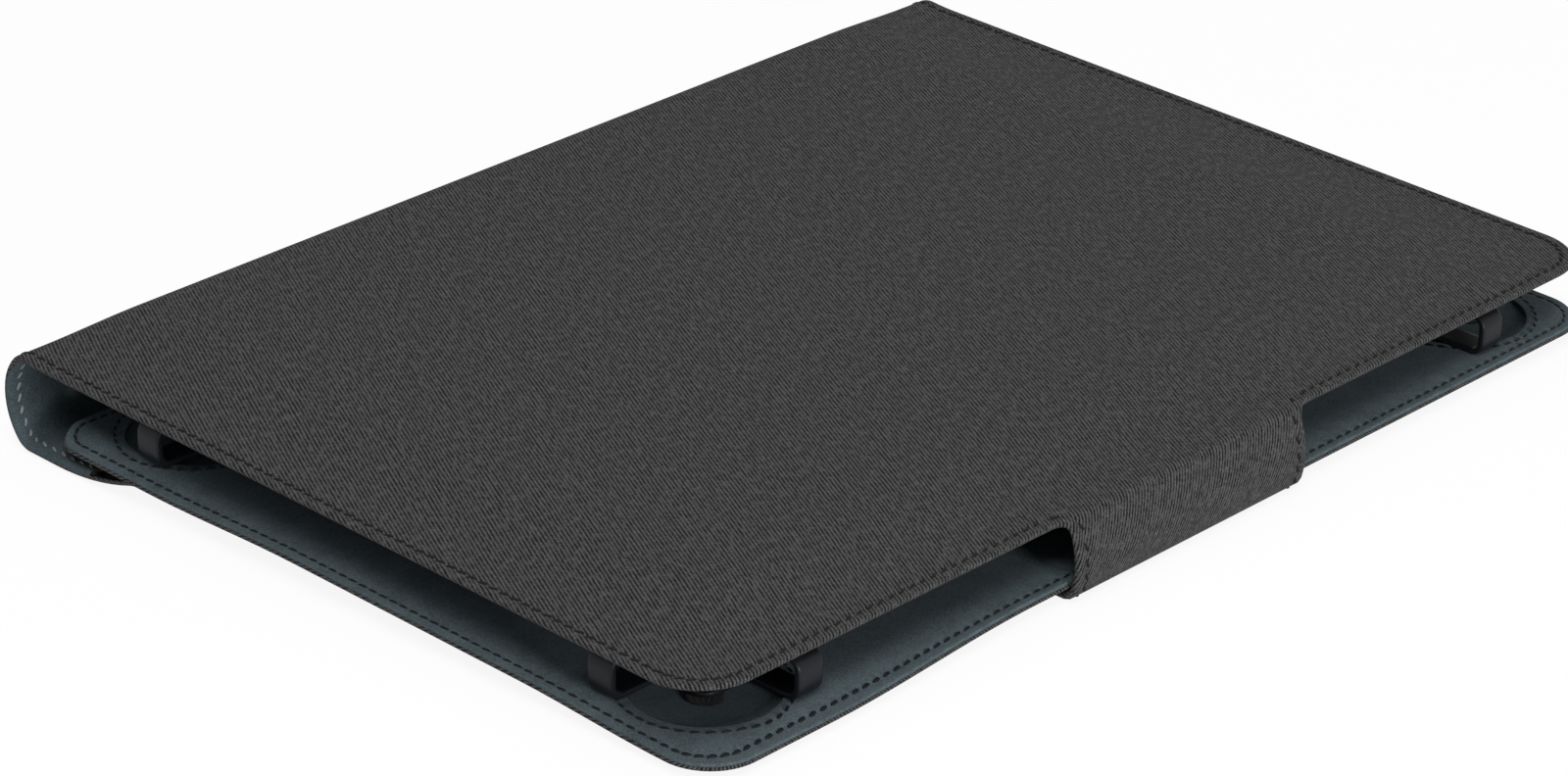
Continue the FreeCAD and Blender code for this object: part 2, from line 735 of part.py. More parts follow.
slider = piece("power_switch")
slider_x = middle("switch_middle", "switch_length")
slider_y = middle(BAR_Y, "switch_width")
slot_x = (slider_x[0] + " - key_clearance", slider_x[1] + " + switch_travel + key_clearance")
slot_y = middle(BAR_Y, "switch_width + 2 * key_clearance")
block(bezel_holes, slot_x, slot_y, THROUGH_BEZEL)
block(slider, slider_x, slider_y, (BEZEL_FACE + " - switch_proud", FLANGE_LOW))
block(
    slider,
    middle("switch_middle", "switch_length + 2 * switch_flange"),
    middle(BAR_Y, "switch_width + 2 * switch_flange"),
    rise(FLANGE_LOW, "switch_flange_thickness"),
)

combine(bezel, bezel_holes, "Cut")

# Check every object, then write one file for each piece
doc.recompute()
broken = [thing.Name for thing in doc.Objects if {"Invalid", "Error"} & set(thing.State)]
if broken:
    raise RuntimeError("failed: " + ", ".join(broken))
for body in pieces:
    if body.Shape.isNull() or not body.Shape.isValid() or not body.Shape.Solids:
        raise RuntimeError("no good shape: " + body.Label)

os.makedirs("parts", exist_ok=True)
for body in pieces:
    body.Shape.exportStep("parts/%s.step" % body.Label)
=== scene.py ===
import json
import math

import bmesh
import bpy
import numpy as np
from mathutils.geometry import delaunay_2d_cdt
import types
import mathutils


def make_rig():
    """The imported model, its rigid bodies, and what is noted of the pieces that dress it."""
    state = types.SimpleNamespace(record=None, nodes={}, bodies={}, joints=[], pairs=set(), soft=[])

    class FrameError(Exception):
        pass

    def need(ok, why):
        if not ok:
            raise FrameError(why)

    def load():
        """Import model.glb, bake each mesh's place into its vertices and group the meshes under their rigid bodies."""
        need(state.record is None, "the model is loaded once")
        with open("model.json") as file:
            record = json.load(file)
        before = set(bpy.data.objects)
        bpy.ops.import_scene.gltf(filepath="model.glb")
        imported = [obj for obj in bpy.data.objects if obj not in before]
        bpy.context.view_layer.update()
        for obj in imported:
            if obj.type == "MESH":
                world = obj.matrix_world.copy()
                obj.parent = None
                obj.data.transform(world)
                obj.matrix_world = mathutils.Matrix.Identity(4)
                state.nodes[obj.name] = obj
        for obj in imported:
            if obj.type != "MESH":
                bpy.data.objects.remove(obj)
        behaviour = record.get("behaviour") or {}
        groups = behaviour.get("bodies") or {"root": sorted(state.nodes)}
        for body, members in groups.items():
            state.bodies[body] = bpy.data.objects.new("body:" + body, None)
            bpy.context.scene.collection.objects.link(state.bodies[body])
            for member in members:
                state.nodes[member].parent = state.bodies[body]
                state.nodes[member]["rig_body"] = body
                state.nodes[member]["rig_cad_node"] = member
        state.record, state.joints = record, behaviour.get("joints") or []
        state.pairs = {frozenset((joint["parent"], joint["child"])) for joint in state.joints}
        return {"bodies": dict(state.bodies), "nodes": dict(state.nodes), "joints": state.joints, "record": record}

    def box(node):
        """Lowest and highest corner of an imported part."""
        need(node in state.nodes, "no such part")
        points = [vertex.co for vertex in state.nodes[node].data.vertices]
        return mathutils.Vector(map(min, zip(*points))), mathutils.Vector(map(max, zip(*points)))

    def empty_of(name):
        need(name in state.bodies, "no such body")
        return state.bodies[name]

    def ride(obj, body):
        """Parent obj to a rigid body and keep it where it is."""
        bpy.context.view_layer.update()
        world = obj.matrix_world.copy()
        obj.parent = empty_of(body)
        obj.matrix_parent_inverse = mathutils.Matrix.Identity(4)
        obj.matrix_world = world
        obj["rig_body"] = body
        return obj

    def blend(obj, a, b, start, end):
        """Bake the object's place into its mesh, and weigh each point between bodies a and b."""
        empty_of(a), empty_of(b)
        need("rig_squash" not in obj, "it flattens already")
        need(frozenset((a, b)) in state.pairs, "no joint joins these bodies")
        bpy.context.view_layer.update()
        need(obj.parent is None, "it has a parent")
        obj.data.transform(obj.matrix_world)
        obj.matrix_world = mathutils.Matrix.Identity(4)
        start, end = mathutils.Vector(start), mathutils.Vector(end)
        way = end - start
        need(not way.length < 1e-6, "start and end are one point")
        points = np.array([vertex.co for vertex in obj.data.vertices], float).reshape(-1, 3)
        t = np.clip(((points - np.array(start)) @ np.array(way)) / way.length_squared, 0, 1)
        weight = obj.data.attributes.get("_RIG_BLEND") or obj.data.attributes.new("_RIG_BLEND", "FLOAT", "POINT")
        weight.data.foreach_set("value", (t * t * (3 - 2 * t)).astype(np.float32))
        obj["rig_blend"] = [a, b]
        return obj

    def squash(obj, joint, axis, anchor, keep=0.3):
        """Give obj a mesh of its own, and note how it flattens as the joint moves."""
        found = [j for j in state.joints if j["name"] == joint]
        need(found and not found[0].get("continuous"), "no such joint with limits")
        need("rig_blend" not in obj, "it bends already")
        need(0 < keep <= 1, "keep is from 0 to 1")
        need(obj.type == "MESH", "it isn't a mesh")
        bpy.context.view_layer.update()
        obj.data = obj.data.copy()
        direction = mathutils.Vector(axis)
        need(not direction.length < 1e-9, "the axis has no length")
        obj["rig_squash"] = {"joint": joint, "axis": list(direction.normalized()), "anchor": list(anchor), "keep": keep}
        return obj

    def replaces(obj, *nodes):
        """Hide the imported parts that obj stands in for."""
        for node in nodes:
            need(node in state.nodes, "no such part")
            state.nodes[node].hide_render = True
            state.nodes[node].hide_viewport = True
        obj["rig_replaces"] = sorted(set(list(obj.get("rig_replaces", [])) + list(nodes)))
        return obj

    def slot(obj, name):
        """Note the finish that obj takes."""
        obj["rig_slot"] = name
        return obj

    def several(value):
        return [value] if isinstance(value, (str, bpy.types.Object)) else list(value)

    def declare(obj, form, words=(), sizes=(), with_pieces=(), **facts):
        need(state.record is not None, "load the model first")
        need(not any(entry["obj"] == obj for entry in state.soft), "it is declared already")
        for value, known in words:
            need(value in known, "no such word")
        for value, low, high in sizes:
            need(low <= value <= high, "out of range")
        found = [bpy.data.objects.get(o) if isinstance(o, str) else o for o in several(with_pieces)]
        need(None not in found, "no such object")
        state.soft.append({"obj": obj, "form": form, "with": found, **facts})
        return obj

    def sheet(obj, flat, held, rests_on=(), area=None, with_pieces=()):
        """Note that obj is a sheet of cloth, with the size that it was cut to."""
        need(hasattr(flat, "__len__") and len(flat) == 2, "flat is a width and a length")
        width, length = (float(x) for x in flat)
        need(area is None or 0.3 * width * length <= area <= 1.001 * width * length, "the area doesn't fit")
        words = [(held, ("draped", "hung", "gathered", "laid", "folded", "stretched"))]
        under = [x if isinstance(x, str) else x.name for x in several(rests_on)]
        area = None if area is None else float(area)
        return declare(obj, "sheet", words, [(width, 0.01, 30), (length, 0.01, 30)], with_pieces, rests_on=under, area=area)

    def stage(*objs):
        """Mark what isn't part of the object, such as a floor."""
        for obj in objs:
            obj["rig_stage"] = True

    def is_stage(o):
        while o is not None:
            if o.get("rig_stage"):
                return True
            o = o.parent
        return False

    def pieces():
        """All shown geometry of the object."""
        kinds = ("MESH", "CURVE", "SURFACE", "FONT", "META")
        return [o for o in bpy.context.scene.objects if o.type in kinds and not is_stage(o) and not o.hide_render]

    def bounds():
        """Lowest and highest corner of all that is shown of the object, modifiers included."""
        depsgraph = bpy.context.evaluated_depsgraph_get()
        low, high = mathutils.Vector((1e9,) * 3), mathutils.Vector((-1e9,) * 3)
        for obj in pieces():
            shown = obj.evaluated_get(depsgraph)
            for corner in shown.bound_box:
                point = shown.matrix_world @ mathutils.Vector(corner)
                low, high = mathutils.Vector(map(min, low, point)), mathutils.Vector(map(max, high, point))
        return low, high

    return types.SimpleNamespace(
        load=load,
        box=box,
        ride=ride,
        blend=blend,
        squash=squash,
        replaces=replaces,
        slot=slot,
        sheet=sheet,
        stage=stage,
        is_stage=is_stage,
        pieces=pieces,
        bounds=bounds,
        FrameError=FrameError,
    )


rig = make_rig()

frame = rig.load()
cad_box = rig.bounds()

# Sizes are millimetres until a mesh is made.
MM = 0.001
# Slack where distances along a line are compared
TINY = 1e-6
SIDES = (-1, 1)


def node_box(node):
    """Lowest and highest corner of a CAD node in millimetres."""
    low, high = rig.box(node)
    return np.array(low) / MM, np.array(high) / MM


cover_low, cover_high = node_box("cover_twill")
panel_low, panel_high = node_box("panel_twill")
lining_low, lining_high = node_box("panel_lining")
strap_low, strap_high = node_box("strap_twill")
patch_low, patch_high = node_box("recess_patches")

HALF_LENGTH = cover_high[0]
COVER_FRONT = cover_low[1]
COVER_TOP = cover_high[2]
COVER_THICKNESS = 2.4
COVER_CORNER = 12.5
SPINE_THICKNESS = 1.9
STRAP_THICKNESS = 1.5
STRAP_LINING_GAP = 0.04

# Towards the sewn edges the cloth sinks past the board and lies straight on the lining.
EDGE_DROP = 1.3
EDGE_SLOPE = 25.0
COVER_EDGE = COVER_THICKNESS - EDGE_DROP
PANEL_RISE = 0.7
BOARD_INSET = 5.0
PANEL_BOARD_INSET = 3.4

RIM_WIDTH = 5.0
LINING_RIM = 3.6

# The cover is flat between these two lines; beyond them the cloth runs into the strap and the spine.
FRONT_LINE = COVER_FRONT + RIM_WIDTH
BACK_LINE = 81.9
FOLD_LENGTH = 18.0

# The strap's cloth is drawn in a little from the sides of its solid.
STRAP_LEFT, STRAP_RIGHT = strap_low[0] + 2.3, strap_high[0] - 0.6
STRAP_MIDDLE = (STRAP_LEFT + STRAP_RIGHT) / 2
STRAP_HALF = (STRAP_RIGHT - STRAP_LEFT) / 2
ROOT_FILLET = 4.0
ROOT_HALF = STRAP_HALF + ROOT_FILLET
ROOT_FADE = 12.0
ROOT_SWELL = 8.0
TAB_CORNER = 8.0

STITCH_INSET = 2.4
STITCH_PITCH = 2.7
STITCH_LENGTH = 2.3
STITCH_SLANT = 24.0
STITCH_THICK = 0.31
STITCH_ARCH = 0.16
STITCH_GROOVE = 0.16
GROOVE_WIDTH = 0.5

# How far cloth is tucked under an edge, or past half way round it, and the suede's small roll beside it
TUCK, TUCK_STOP, TUCK_LIFT = 1.0, 0.6, 0.12
SUEDE_SET_IN, SUEDE_ROLL = 0.4, 0.3

# The panel's cloth and lining reach a little past their solids, towards the spine.
PANEL_REACH = 2.0
panel_high[1] += PANEL_REACH
PANEL_FRONT_CORNER = 11.0
PANEL_BACK_CORNER = 7.0
PANEL_STITCH = 1.8
PANEL_CLOTH = panel_high[2] - panel_low[2]
SUEDE_INSET = 0.4
CUTOUT_RADIUS = 14.0
RING_WIDTH = 1.0
RING_STITCH = 2.0
CUTOUT_PLACES = [(sx * 106.2, y) for y in (-73.1, 62.4) for sx in SIDES]


def linear(red, green, blue):
    """An sRGB colour from 0 to 255 as the linear colour that a shader takes."""
    share = np.array([red, green, blue]) / 255.0
    low, high = share / 12.92, ((share + 0.055) / 1.055) ** 2.4
    return (*np.where(share <= 0.04045, low, high), 1.0)


def ease(value, start, end):
    """0 before start and 1 after end, with a smooth step between."""
    share = np.clip((value - start) / (end - start), 0.0, 1.0)
    return share * share * (3 - 2 * share)


def compass(angle):
    """Steps of length 1 in a plane, at these angles."""
    return np.stack([np.cos(angle), np.sin(angle)], -1)


def lifted(flat, level):
    """Points in space from flat places and their levels."""
    return np.concatenate([flat, np.broadcast_to(level, flat.shape[:-1])[..., None]], -1)


# Runs: lines of straight stretches and arcs


def straight(length):
    """A straight leg of a run."""
    return length, 0.0


def bend(radius, degrees):
    """An arc leg of a run, turning left by so many degrees."""
    turn = math.radians(degrees)
    return radius * abs(turn), turn


class Run:
    """A plane line of straight and arc legs, read by the distance along it, with a normal on one side."""

    def __init__(self, start, heading, legs, side=1):
        self.lengths = np.array([leg[0] for leg in legs])
        self.turns = np.array([leg[1] for leg in legs])
        self.side = side
        self.length = self.lengths.sum()
        self.begins = np.cumsum(self.lengths) - self.lengths
        self.headings = math.radians(heading) + np.cumsum(self.turns) - self.turns
        self.curves = self.turns / self.lengths
        chords = self.chord(self.lengths, self.headings, self.curves)
        self.starts = np.array(start) + np.cumsum(chords, 0) - chords

    @staticmethod
    def chord(along, heading, curve):
        """The chord of an arc: its length times sin(half turn) / (half turn), along its middle heading."""
        reach = along * np.sinc(along * curve / (2 * np.pi))
        middle = heading + along * curve / 2
        return reach[..., None] * compass(middle)

    def at(self, distance):
        """Points and normals: the leg's start plus its chord, and a quarter turn from the heading there."""
        leg = np.clip(np.searchsorted(self.begins, distance, side="right") - 1, 0, None)
        along = distance - self.begins[leg]
        heading, curve = self.headings[leg], self.curves[leg]
        facing = heading + along * curve + self.side * np.pi / 2
        points = self.starts[leg] + self.chord(along, heading, curve)
        return points, compass(facing)

    def steps(self, spacing, degrees=7.5):
        """Distances along the run, no further apart than spacing on straights and degrees on arcs."""
        counts = np.ceil(np.maximum(self.lengths / spacing, np.abs(self.turns) / math.radians(degrees)))
        parts = [
            begin + np.linspace(0, length, int(count), endpoint=False)
            for begin, length, count in zip(self.begins, self.lengths, counts)
        ]
        return np.append(np.concatenate(parts), self.length)


# Side view of the outer cloth, in y and z: forward over the strap to the tab, and back over the spine
strap_run = Run(
    (FRONT_LINE, COVER_TOP - EDGE_DROP),
    180,
    [straight(4.78), bend(1.94, 62), bend(18.05, 42), bend(3.74, 76), straight(14.34)],
    side=-1,
)
spine_run = Run(
    (BACK_LINE, COVER_TOP),
    0,
    [
        straight(6.1), bend(5.77, -51), bend(13.6, -79.6), bend(5.0, -49.4),
        straight(8.0), bend(62.0, -20), bend(12.0, 14),
    ],
)
STRAP_SEAM = FRONT_LINE - strap_run.begins[2] - strap_run.lengths[2] / 2
SPINE_SEAM = BACK_LINE + spine_run.begins[2] + spine_run.lengths[2] / 2
TAB_END = FRONT_LINE - strap_run.length
FLAP_END = BACK_LINE + spine_run.length
# The flap's lining stops short of its cloth.
FLAP_STOP = FLAP_END - 14.0


def bent(run, distance, flat, height):
    """Flat cloth bent along a run: x stays, y becomes a distance along it, height goes along its normal."""
    points, normals = run.at(distance)
    return np.concatenate([flat[..., :1], points + normals * height[..., None]], -1)


def from_edge(distance):
    """0 within the sewn rim and 1 past the slope beside it."""
    return ease(distance, RIM_WIDTH, RIM_WIDTH + EDGE_SLOPE)


def over_fold(flat_y):
    """1 on the cover, fading to 0 over the fold into the spine."""
    return 1 - ease(flat_y, BACK_LINE, BACK_LINE + FOLD_LENGTH)


def strap_thickness(flat_y):
    """The strap's thickness: the cover's sewn edge at its root, swelling to the strap's own."""
    return COVER_EDGE + (STRAP_THICKNESS - COVER_EDGE) * ease(COVER_FRONT - flat_y, 0.0, ROOT_SWELL)


def spine_thickness(flat_y):
    """The spine's thickness: the cover's, thinning to the spine's own."""
    return SPINE_THICKNESS + (COVER_THICKNESS - SPINE_THICKNESS) * over_fold(flat_y)


def on_strap(flat, height):
    """The strap's outer cloth, bent down its run."""
    return bent(strap_run, FRONT_LINE - flat[..., 1], flat, height)


def in_strap(flat, height):
    """The strap's lining, its height measured inward from its face."""
    return on_strap(flat, -strap_thickness(flat[..., 1]) - STRAP_LINING_GAP - height)


def on_spine(flat, height):
    """The spine's outer cloth, bent round its run and sunk at its ends beside the cover."""
    sink = EDGE_DROP * (1 - from_edge(HALF_LENGTH - np.abs(flat[..., 0]))) * over_fold(flat[..., 1])
    return bent(spine_run, flat[..., 1] - BACK_LINE, flat, height - sink)


def in_spine(flat, height):
    """The spine's lining, its height measured inward from its face."""
    return bent(spine_run, flat[..., 1] - BACK_LINE, flat, -spine_thickness(flat[..., 1]) - height)


def on_cover(flat, height):
    """The cover's outer cloth: sunk towards its edges, and leaning into the strap's fold beside its root."""
    middle = from_edge(HALF_LENGTH - np.abs(flat[..., 0])) * from_edge(flat[..., 1] - COVER_FRONT)
    level = lifted(flat, COVER_TOP - EDGE_DROP * (1 - middle) + height)
    root = 1 - ease(np.abs(flat[..., 0] - STRAP_MIDDLE), ROOT_HALF, ROOT_HALF + ROOT_FADE)
    root = root * (flat[..., 1] < FRONT_LINE)
    return level + root[..., None] * (on_strap(flat, height) - level)


def under_cover(flat, height):
    """The cover's lining, flat on its underside, its height measured down from its face."""
    return lifted(flat, COVER_TOP - COVER_THICKNESS - height)


def under_panel(flat, height):
    """The back panel's outer cloth, which faces down and rises towards its edges."""
    middle = from_edge(HALF_LENGTH - np.abs(flat[..., 0])) * from_edge(flat[..., 1] - panel_low[1])
    middle = middle * from_edge(panel_high[1] - flat[..., 1])
    return lifted(flat, panel_low[2] + PANEL_RISE * (1 - middle) - height)


# Edge profiles


def groove(inset, line):
    """Height of a face beside a sewn line: a soft hollow where the thread pulls it in."""
    return -STITCH_GROOVE * np.exp(-(((inset - line) / GROOVE_WIDTH) ** 2))


def cloth_rim(thickness, wrap=1.0):
    """Inset and height of cloth round an edge: tucked end, round rim of half the thickness, sewn top.

    wrap is 1 where the cloth turns right under the edge and 0 where it stops half way round."""
    half = np.reshape(thickness, (-1, 1)) / 2
    wrap = np.reshape(wrap, (-1, 1))
    share = np.linspace(0, 1, 11)
    angle = np.pi / 2 * (share - wrap * (1 - share))
    round_inset, round_height = half * (1 - np.cos(angle)), half * (np.sin(angle) - 1)
    tuck_inset = wrap * (half + TUCK) + (1 - wrap) * TUCK_STOP
    tuck_height = -half * (1 + wrap) + TUCK_LIFT * wrap
    top_inset = half + (RIM_WIDTH - half) * np.linspace(0.06, 1, 18)
    top_height = groove(top_inset, STITCH_INSET)
    inset = np.concatenate([tuck_inset + 0 * half, round_inset, top_inset + 0 * wrap], 1)
    height = np.concatenate([tuck_height, round_height, top_height + 0 * wrap], 1)
    return inset, height


def suede_rim(thickness, wrap=1.0):
    """Inset and height of the lining: a rolled edge, wide at wrap 0 and small at 1, then the sewn face."""
    half = np.reshape(thickness, (-1, 1)) / 2
    wrap = np.reshape(wrap, (-1, 1))
    roll = wrap * SUEDE_ROLL + (1 - wrap) * half
    angle = np.linspace(0.1, -np.pi / 2, 8)
    round_inset = wrap * (half + SUEDE_SET_IN) + roll * (1 - np.cos(angle))
    round_height = -roll * (1 + np.sin(angle))
    top_inset = round_inset[:, -1:] + (RIM_WIDTH - round_inset[:, -1:]) * np.linspace(0.1, 1, 14)
    top_height = groove(top_inset, STITCH_INSET)
    return np.concatenate([round_inset, top_inset], 1), np.concatenate([round_height, top_height], 1)


def carried(points, inward, profile):
    """A profile carried along an outline: each outline point moved inward by the profile's insets.

    Gives the flat places, the heights, and the cloth's own places, measured round the rim."""
    inset, height = profile
    step = np.hypot(np.diff(inset, axis=1), np.diff(height, axis=1))
    girth = inset[:, -1:] - np.pad(np.cumsum(step[:, ::-1], 1)[:, ::-1], ((0, 0), (0, 1)))
    flat = points[:, None, :] + inward[:, None, :] * inset[..., None]
    cloth = points[:, None, :] + inward[:, None, :] * girth[..., None]
    return flat, np.broadcast_to(height, flat.shape[:2]), cloth


def between(left, right, columns):
    """A ruled sheet: straight rows of columns from the left boundary to the right one."""
    share = np.linspace(0, 1, columns)[None, :, None]
    return left[:, None, :] * (1 - share) + right[:, None, :] * share


# Meshes


# Points closer than this, in metres, are one point.
JOIN = 2e-6


def join_seams(shell):
    """Splits each open edge where corners of the next grid lie on it, so that both grids share them."""
    edges = [edge for edge in shell.edges if edge.is_boundary]
    if edges:
        ends = np.array([[corner.co[:] for corner in edge.verts] for edge in edges])
        along = ends[:, 1] - ends[:, 0]
        square = np.sum(along ** 2, -1)[:, None]
        away = np.unique(ends.reshape(-1, 3), axis=0)[None] - ends[:, :1]
        share = np.einsum("evk,ek->ev", away, along) / square
        gap = np.linalg.norm(away - share[..., None] * along[:, None], axis=-1)
        between_ends = np.minimum(share, 1 - share) * np.sqrt(square) > 2 * JOIN
        for edge, places in zip(edges, np.where((gap < JOIN) & between_ends, share, np.nan)):
            corner, done = edge.verts[0], 0.0
            for place in np.unique(places[~np.isnan(places)]):
                corner = bmesh.utils.edge_split(edge, corner, (place - done) / (1 - done))[1]
                done = place
        bmesh.ops.remove_doubles(shell, verts=shell.verts, dist=JOIN)


def make_piece(name, grids, material, facing=None):
    """One mesh from grids of points and flat places: four neighbours make a face, shared edges join.

    facing is a direction that the faces mostly look along; a closed shape needs none."""
    points, flats, faces, count = [], [], [], 0
    for grid, flat in grids:
        rows, columns = grid.shape[:2]
        corner = count + np.arange(rows * columns).reshape(rows, columns)
        quads = [corner[:-1, :-1], corner[:-1, 1:], corner[1:, 1:], corner[1:, :-1]]
        faces.append(np.stack(quads, -1).reshape(-1, 4))
        points.append(grid.reshape(-1, 3))
        flats.append(flat.reshape(-1, 2))
        count += rows * columns
    points, flats, faces = np.concatenate(points), np.concatenate(flats), np.concatenate(faces)
    mesh = bpy.data.meshes.new(name)
    mesh.vertices.add(len(points))
    mesh.vertices.foreach_set("co", (points * MM).ravel())
    mesh.loops.add(faces.size)
    mesh.loops.foreach_set("vertex_index", faces.ravel())
    mesh.polygons.add(len(faces))
    mesh.polygons.foreach_set("loop_start", np.arange(0, faces.size, 4))
    mesh.uv_layers.new(name="flat").data.foreach_set("uv", (flats[faces.ravel()] * MM).ravel())
    mesh.update(calc_edges=True)
    mesh.validate()
    shell = bmesh.new()
    shell.from_mesh(mesh)
    bmesh.ops.remove_doubles(shell, verts=shell.verts, dist=JOIN)
    bmesh.ops.dissolve_degenerate(shell, edges=shell.edges, dist=1e-7)
    join_seams(shell)
    bmesh.ops.recalc_face_normals(shell, faces=shell.faces)
    shell.to_mesh(mesh)
    shell.free()
    turn_faces(mesh, facing)
    piece = bpy.data.objects.new(name, mesh)
    piece.data.materials.append(material)
    bpy.context.scene.collection.objects.link(piece)
    return piece


def turn_faces(mesh, facing):
    """Turns the whole mesh over if its faces, weighed by area, look away from facing."""
    if facing is not None:
        normals, areas = np.empty(len(mesh.polygons) * 3), np.empty(len(mesh.polygons))
        mesh.polygons.foreach_get("normal", normals)
        mesh.polygons.foreach_get("area", areas)
        if areas @ (normals.reshape(-1, 3) @ np.array(facing)) < 0:
            mesh.flip_normals()
    mesh.shade_smooth()


def laid(place, flat, height, cloth=None):
    """A grid for make_piece: flat places bent to their shape, with the cloth's own places for the weave."""
    return place(flat, np.broadcast_to(height, flat.shape[:2])), flat if cloth is None else cloth


# Finishes


class Value:
    """A number that varies over a surface; arithmetic on it adds Math nodes."""

    def __init__(self, finish, socket):
        self.finish = finish
        self.socket = socket

    def maths(self, operation, first, second=0.0):
        """One Math node."""
        node = self.finish.node("ShaderNodeMath", {0: first, 1: second}, operation=operation)
        return Value(self.finish, node.outputs[0])

    def __add__(self, other):
        return self.maths("ADD", self, other)

    __radd__ = __add__

    def __sub__(self, other):
        return self.maths("SUBTRACT", self, other)

    def __rsub__(self, other):
        return self.maths("SUBTRACT", other, self)

    def __mul__(self, other):
        return self.maths("MULTIPLY", self, other)

    __rmul__ = __mul__

    def __pow__(self, other):
        return self.maths("POWER", self, other)

    def wave(self):
        """From 0 to 1 and back once for each whole number."""
        return 0.5 - 0.5 * self.maths("COSINE", self * (2 * math.pi))


class Finish:
    """A material: its shader, and methods that add the nodes which feed it."""

    def __init__(self, name, **constants):
        self.material = bpy.data.materials.new(name)
        self.material.use_nodes = True
        self.tree = self.material.node_tree
        self.shader = self.tree.nodes["Principled BSDF"]
        self.set(**constants)

    def node(self, kind, sockets, **settings):
        """Any node: its settings are set first, then the values or links of its sockets."""
        node = self.tree.nodes.new(kind)
        for key, value in settings.items():
            setattr(node, key, value)
        for key, value in sockets.items():
            self.feed(node.inputs[key], value)
        return node

    def feed(self, socket, value):
        """Links a value or an output to a socket, or sets a plain number or colour on it."""
        if isinstance(value, Value):
            self.tree.links.new(value.socket, socket)
        elif isinstance(value, bpy.types.NodeSocket):
            self.tree.links.new(value, socket)
        else:
            socket.default_value = value

    def set(self, **sockets):
        """Feeds the shader's own sockets; an underscore stands for the space in a socket's name."""
        for name, value in sockets.items():
            self.feed(self.shader.inputs[name.replace("_", " ")], value)

    def place(self):
        """Object coordinates in metres."""
        return self.node("ShaderNodeTexCoord", {}).outputs["Object"]

    def flat(self):
        """The cloth's own flat coordinates in millimetres, before it was bent."""
        uv = self.node("ShaderNodeUVMap", {}, uv_map="flat").outputs["UV"]
        parts = self.node("ShaderNodeSeparateXYZ", {"Vector": uv}).outputs
        return Value(self, parts["X"]) * (1 / MM), Value(self, parts["Y"]) * (1 / MM)

    def point(self, x, y):
        """A vector from two numbers."""
        return self.node("ShaderNodeCombineXYZ", {"X": x, "Y": y}).outputs[0]

    def noise(self, vector, scale, detail=2.0, roughness=0.5):
        """Soft random blotches from 0 to 1."""
        sockets = {"Vector": vector, "Scale": scale, "Detail": detail, "Roughness": roughness}
        return Value(self, self.node("ShaderNodeTexNoise", sockets).outputs["Fac"])

    def cells(self, vector, scale):
        """Distance to the nearest of scattered points."""
        node = self.node("ShaderNodeTexVoronoi", {"Vector": vector, "Scale": scale})
        return Value(self, node.outputs["Distance"])

    def stretch(self, value, low, high):
        """Spreads the range from low to high over 0 to 1."""
        sockets = {"Value": value, "From Min": low, "From Max": high}
        return Value(self, self.node("ShaderNodeMapRange", sockets).outputs["Result"])

    def blend(self, share, first, second):
        """A colour between two sRGB colours."""
        sockets = {0: share, 6: linear(*first), 7: linear(*second)}
        return self.node("ShaderNodeMix", sockets, data_type="RGBA").outputs[2]

    def bump(self, height, distance, strength):
        """A fine relief of that depth in millimetres."""
        sockets = {"Height": height, "Distance": distance * MM, "Strength": strength}
        self.set(Normal=self.node("ShaderNodeBump", sockets).outputs["Normal"])


def twill_finish():
    """Grey twill: slanting ribs 0.73 mm apart, dark valleys broken into dashes, flecks and soft blotches."""
    finish = Finish("twill", Specular_IOR_Level=0.05, Sheen_Weight=0.05, Sheen_Roughness=0.6)
    x, y = finish.flat()
    across = x * 1.23 - y * 0.60
    along = x * 0.44 + y * 0.90
    wander = finish.noise(finish.point(across * 0.25, along * 0.12), 1.0)
    ribs = (across + wander * 0.35).wave()
    valleys = (1 - ribs) ** 1.5
    dashes = finish.stretch(finish.noise(finish.point(across * 0.95, along * 0.45), 1.0, 1.5), 0.32, 0.62)
    flecks = finish.noise(finish.point(across * 1.3, along * 1.6), 1.0, 1.0)
    threads = (along * 1.75 + across * 0.5).wave()
    blotches = finish.noise(finish.point(x * 0.45, y * 0.45), 1.0, 3.0)
    lights = 0.62 + (flecks - 0.5) * 0.9 + threads * 0.1 + (blotches - 0.5) * 0.5
    shade = finish.stretch(lights - valleys * (0.30 + 0.60 * dashes), 0.0, 0.95)
    finish.set(Base_Color=finish.blend(shade, (1, 1, 2), (82, 82, 82)))
    finish.set(Roughness=0.95 - 0.15 * shade)
    finish.bump(ribs * 0.7 + threads * 0.2 + flecks * 0.3, 0.12, 0.7)
    return finish.material


def suede_finish(name, dark, light):
    """Dark brushed suede: short fibres over cloudy patches where the nap lies another way."""
    finish = Finish(name, Specular_IOR_Level=0.04, Sheen_Weight=0.2, Sheen_Roughness=0.45)
    finish.set(Sheen_Tint=linear(190, 205, 215))
    place = finish.place()
    fibres = finish.noise(place, 2600.0, 3.0, 0.7)
    nap = finish.noise(place, 150.0, 4.0, 0.65)
    shade = finish.stretch(fibres * 0.72 + nap * 0.28, 0.3, 0.7)
    finish.set(Base_Color=finish.blend(shade, dark, light), Roughness=0.98 - 0.1 * nap)
    finish.bump(fibres * 0.6 + nap * 0.4, 0.12, 0.6)
    return finish.material


def thread_finish(name, dark, light, smooth, gloss):
    """Sewing thread: fine fuzz over a more or less glossy yarn."""
    finish = Finish(name, Specular_IOR_Level=gloss)
    fuzz = finish.noise(finish.place(), 3200.0)
    finish.set(Base_Color=finish.blend(fuzz, dark, light), Roughness=smooth + 0.3 * fuzz)
    finish.bump(fuzz, 0.05, 0.5)
    return finish.material


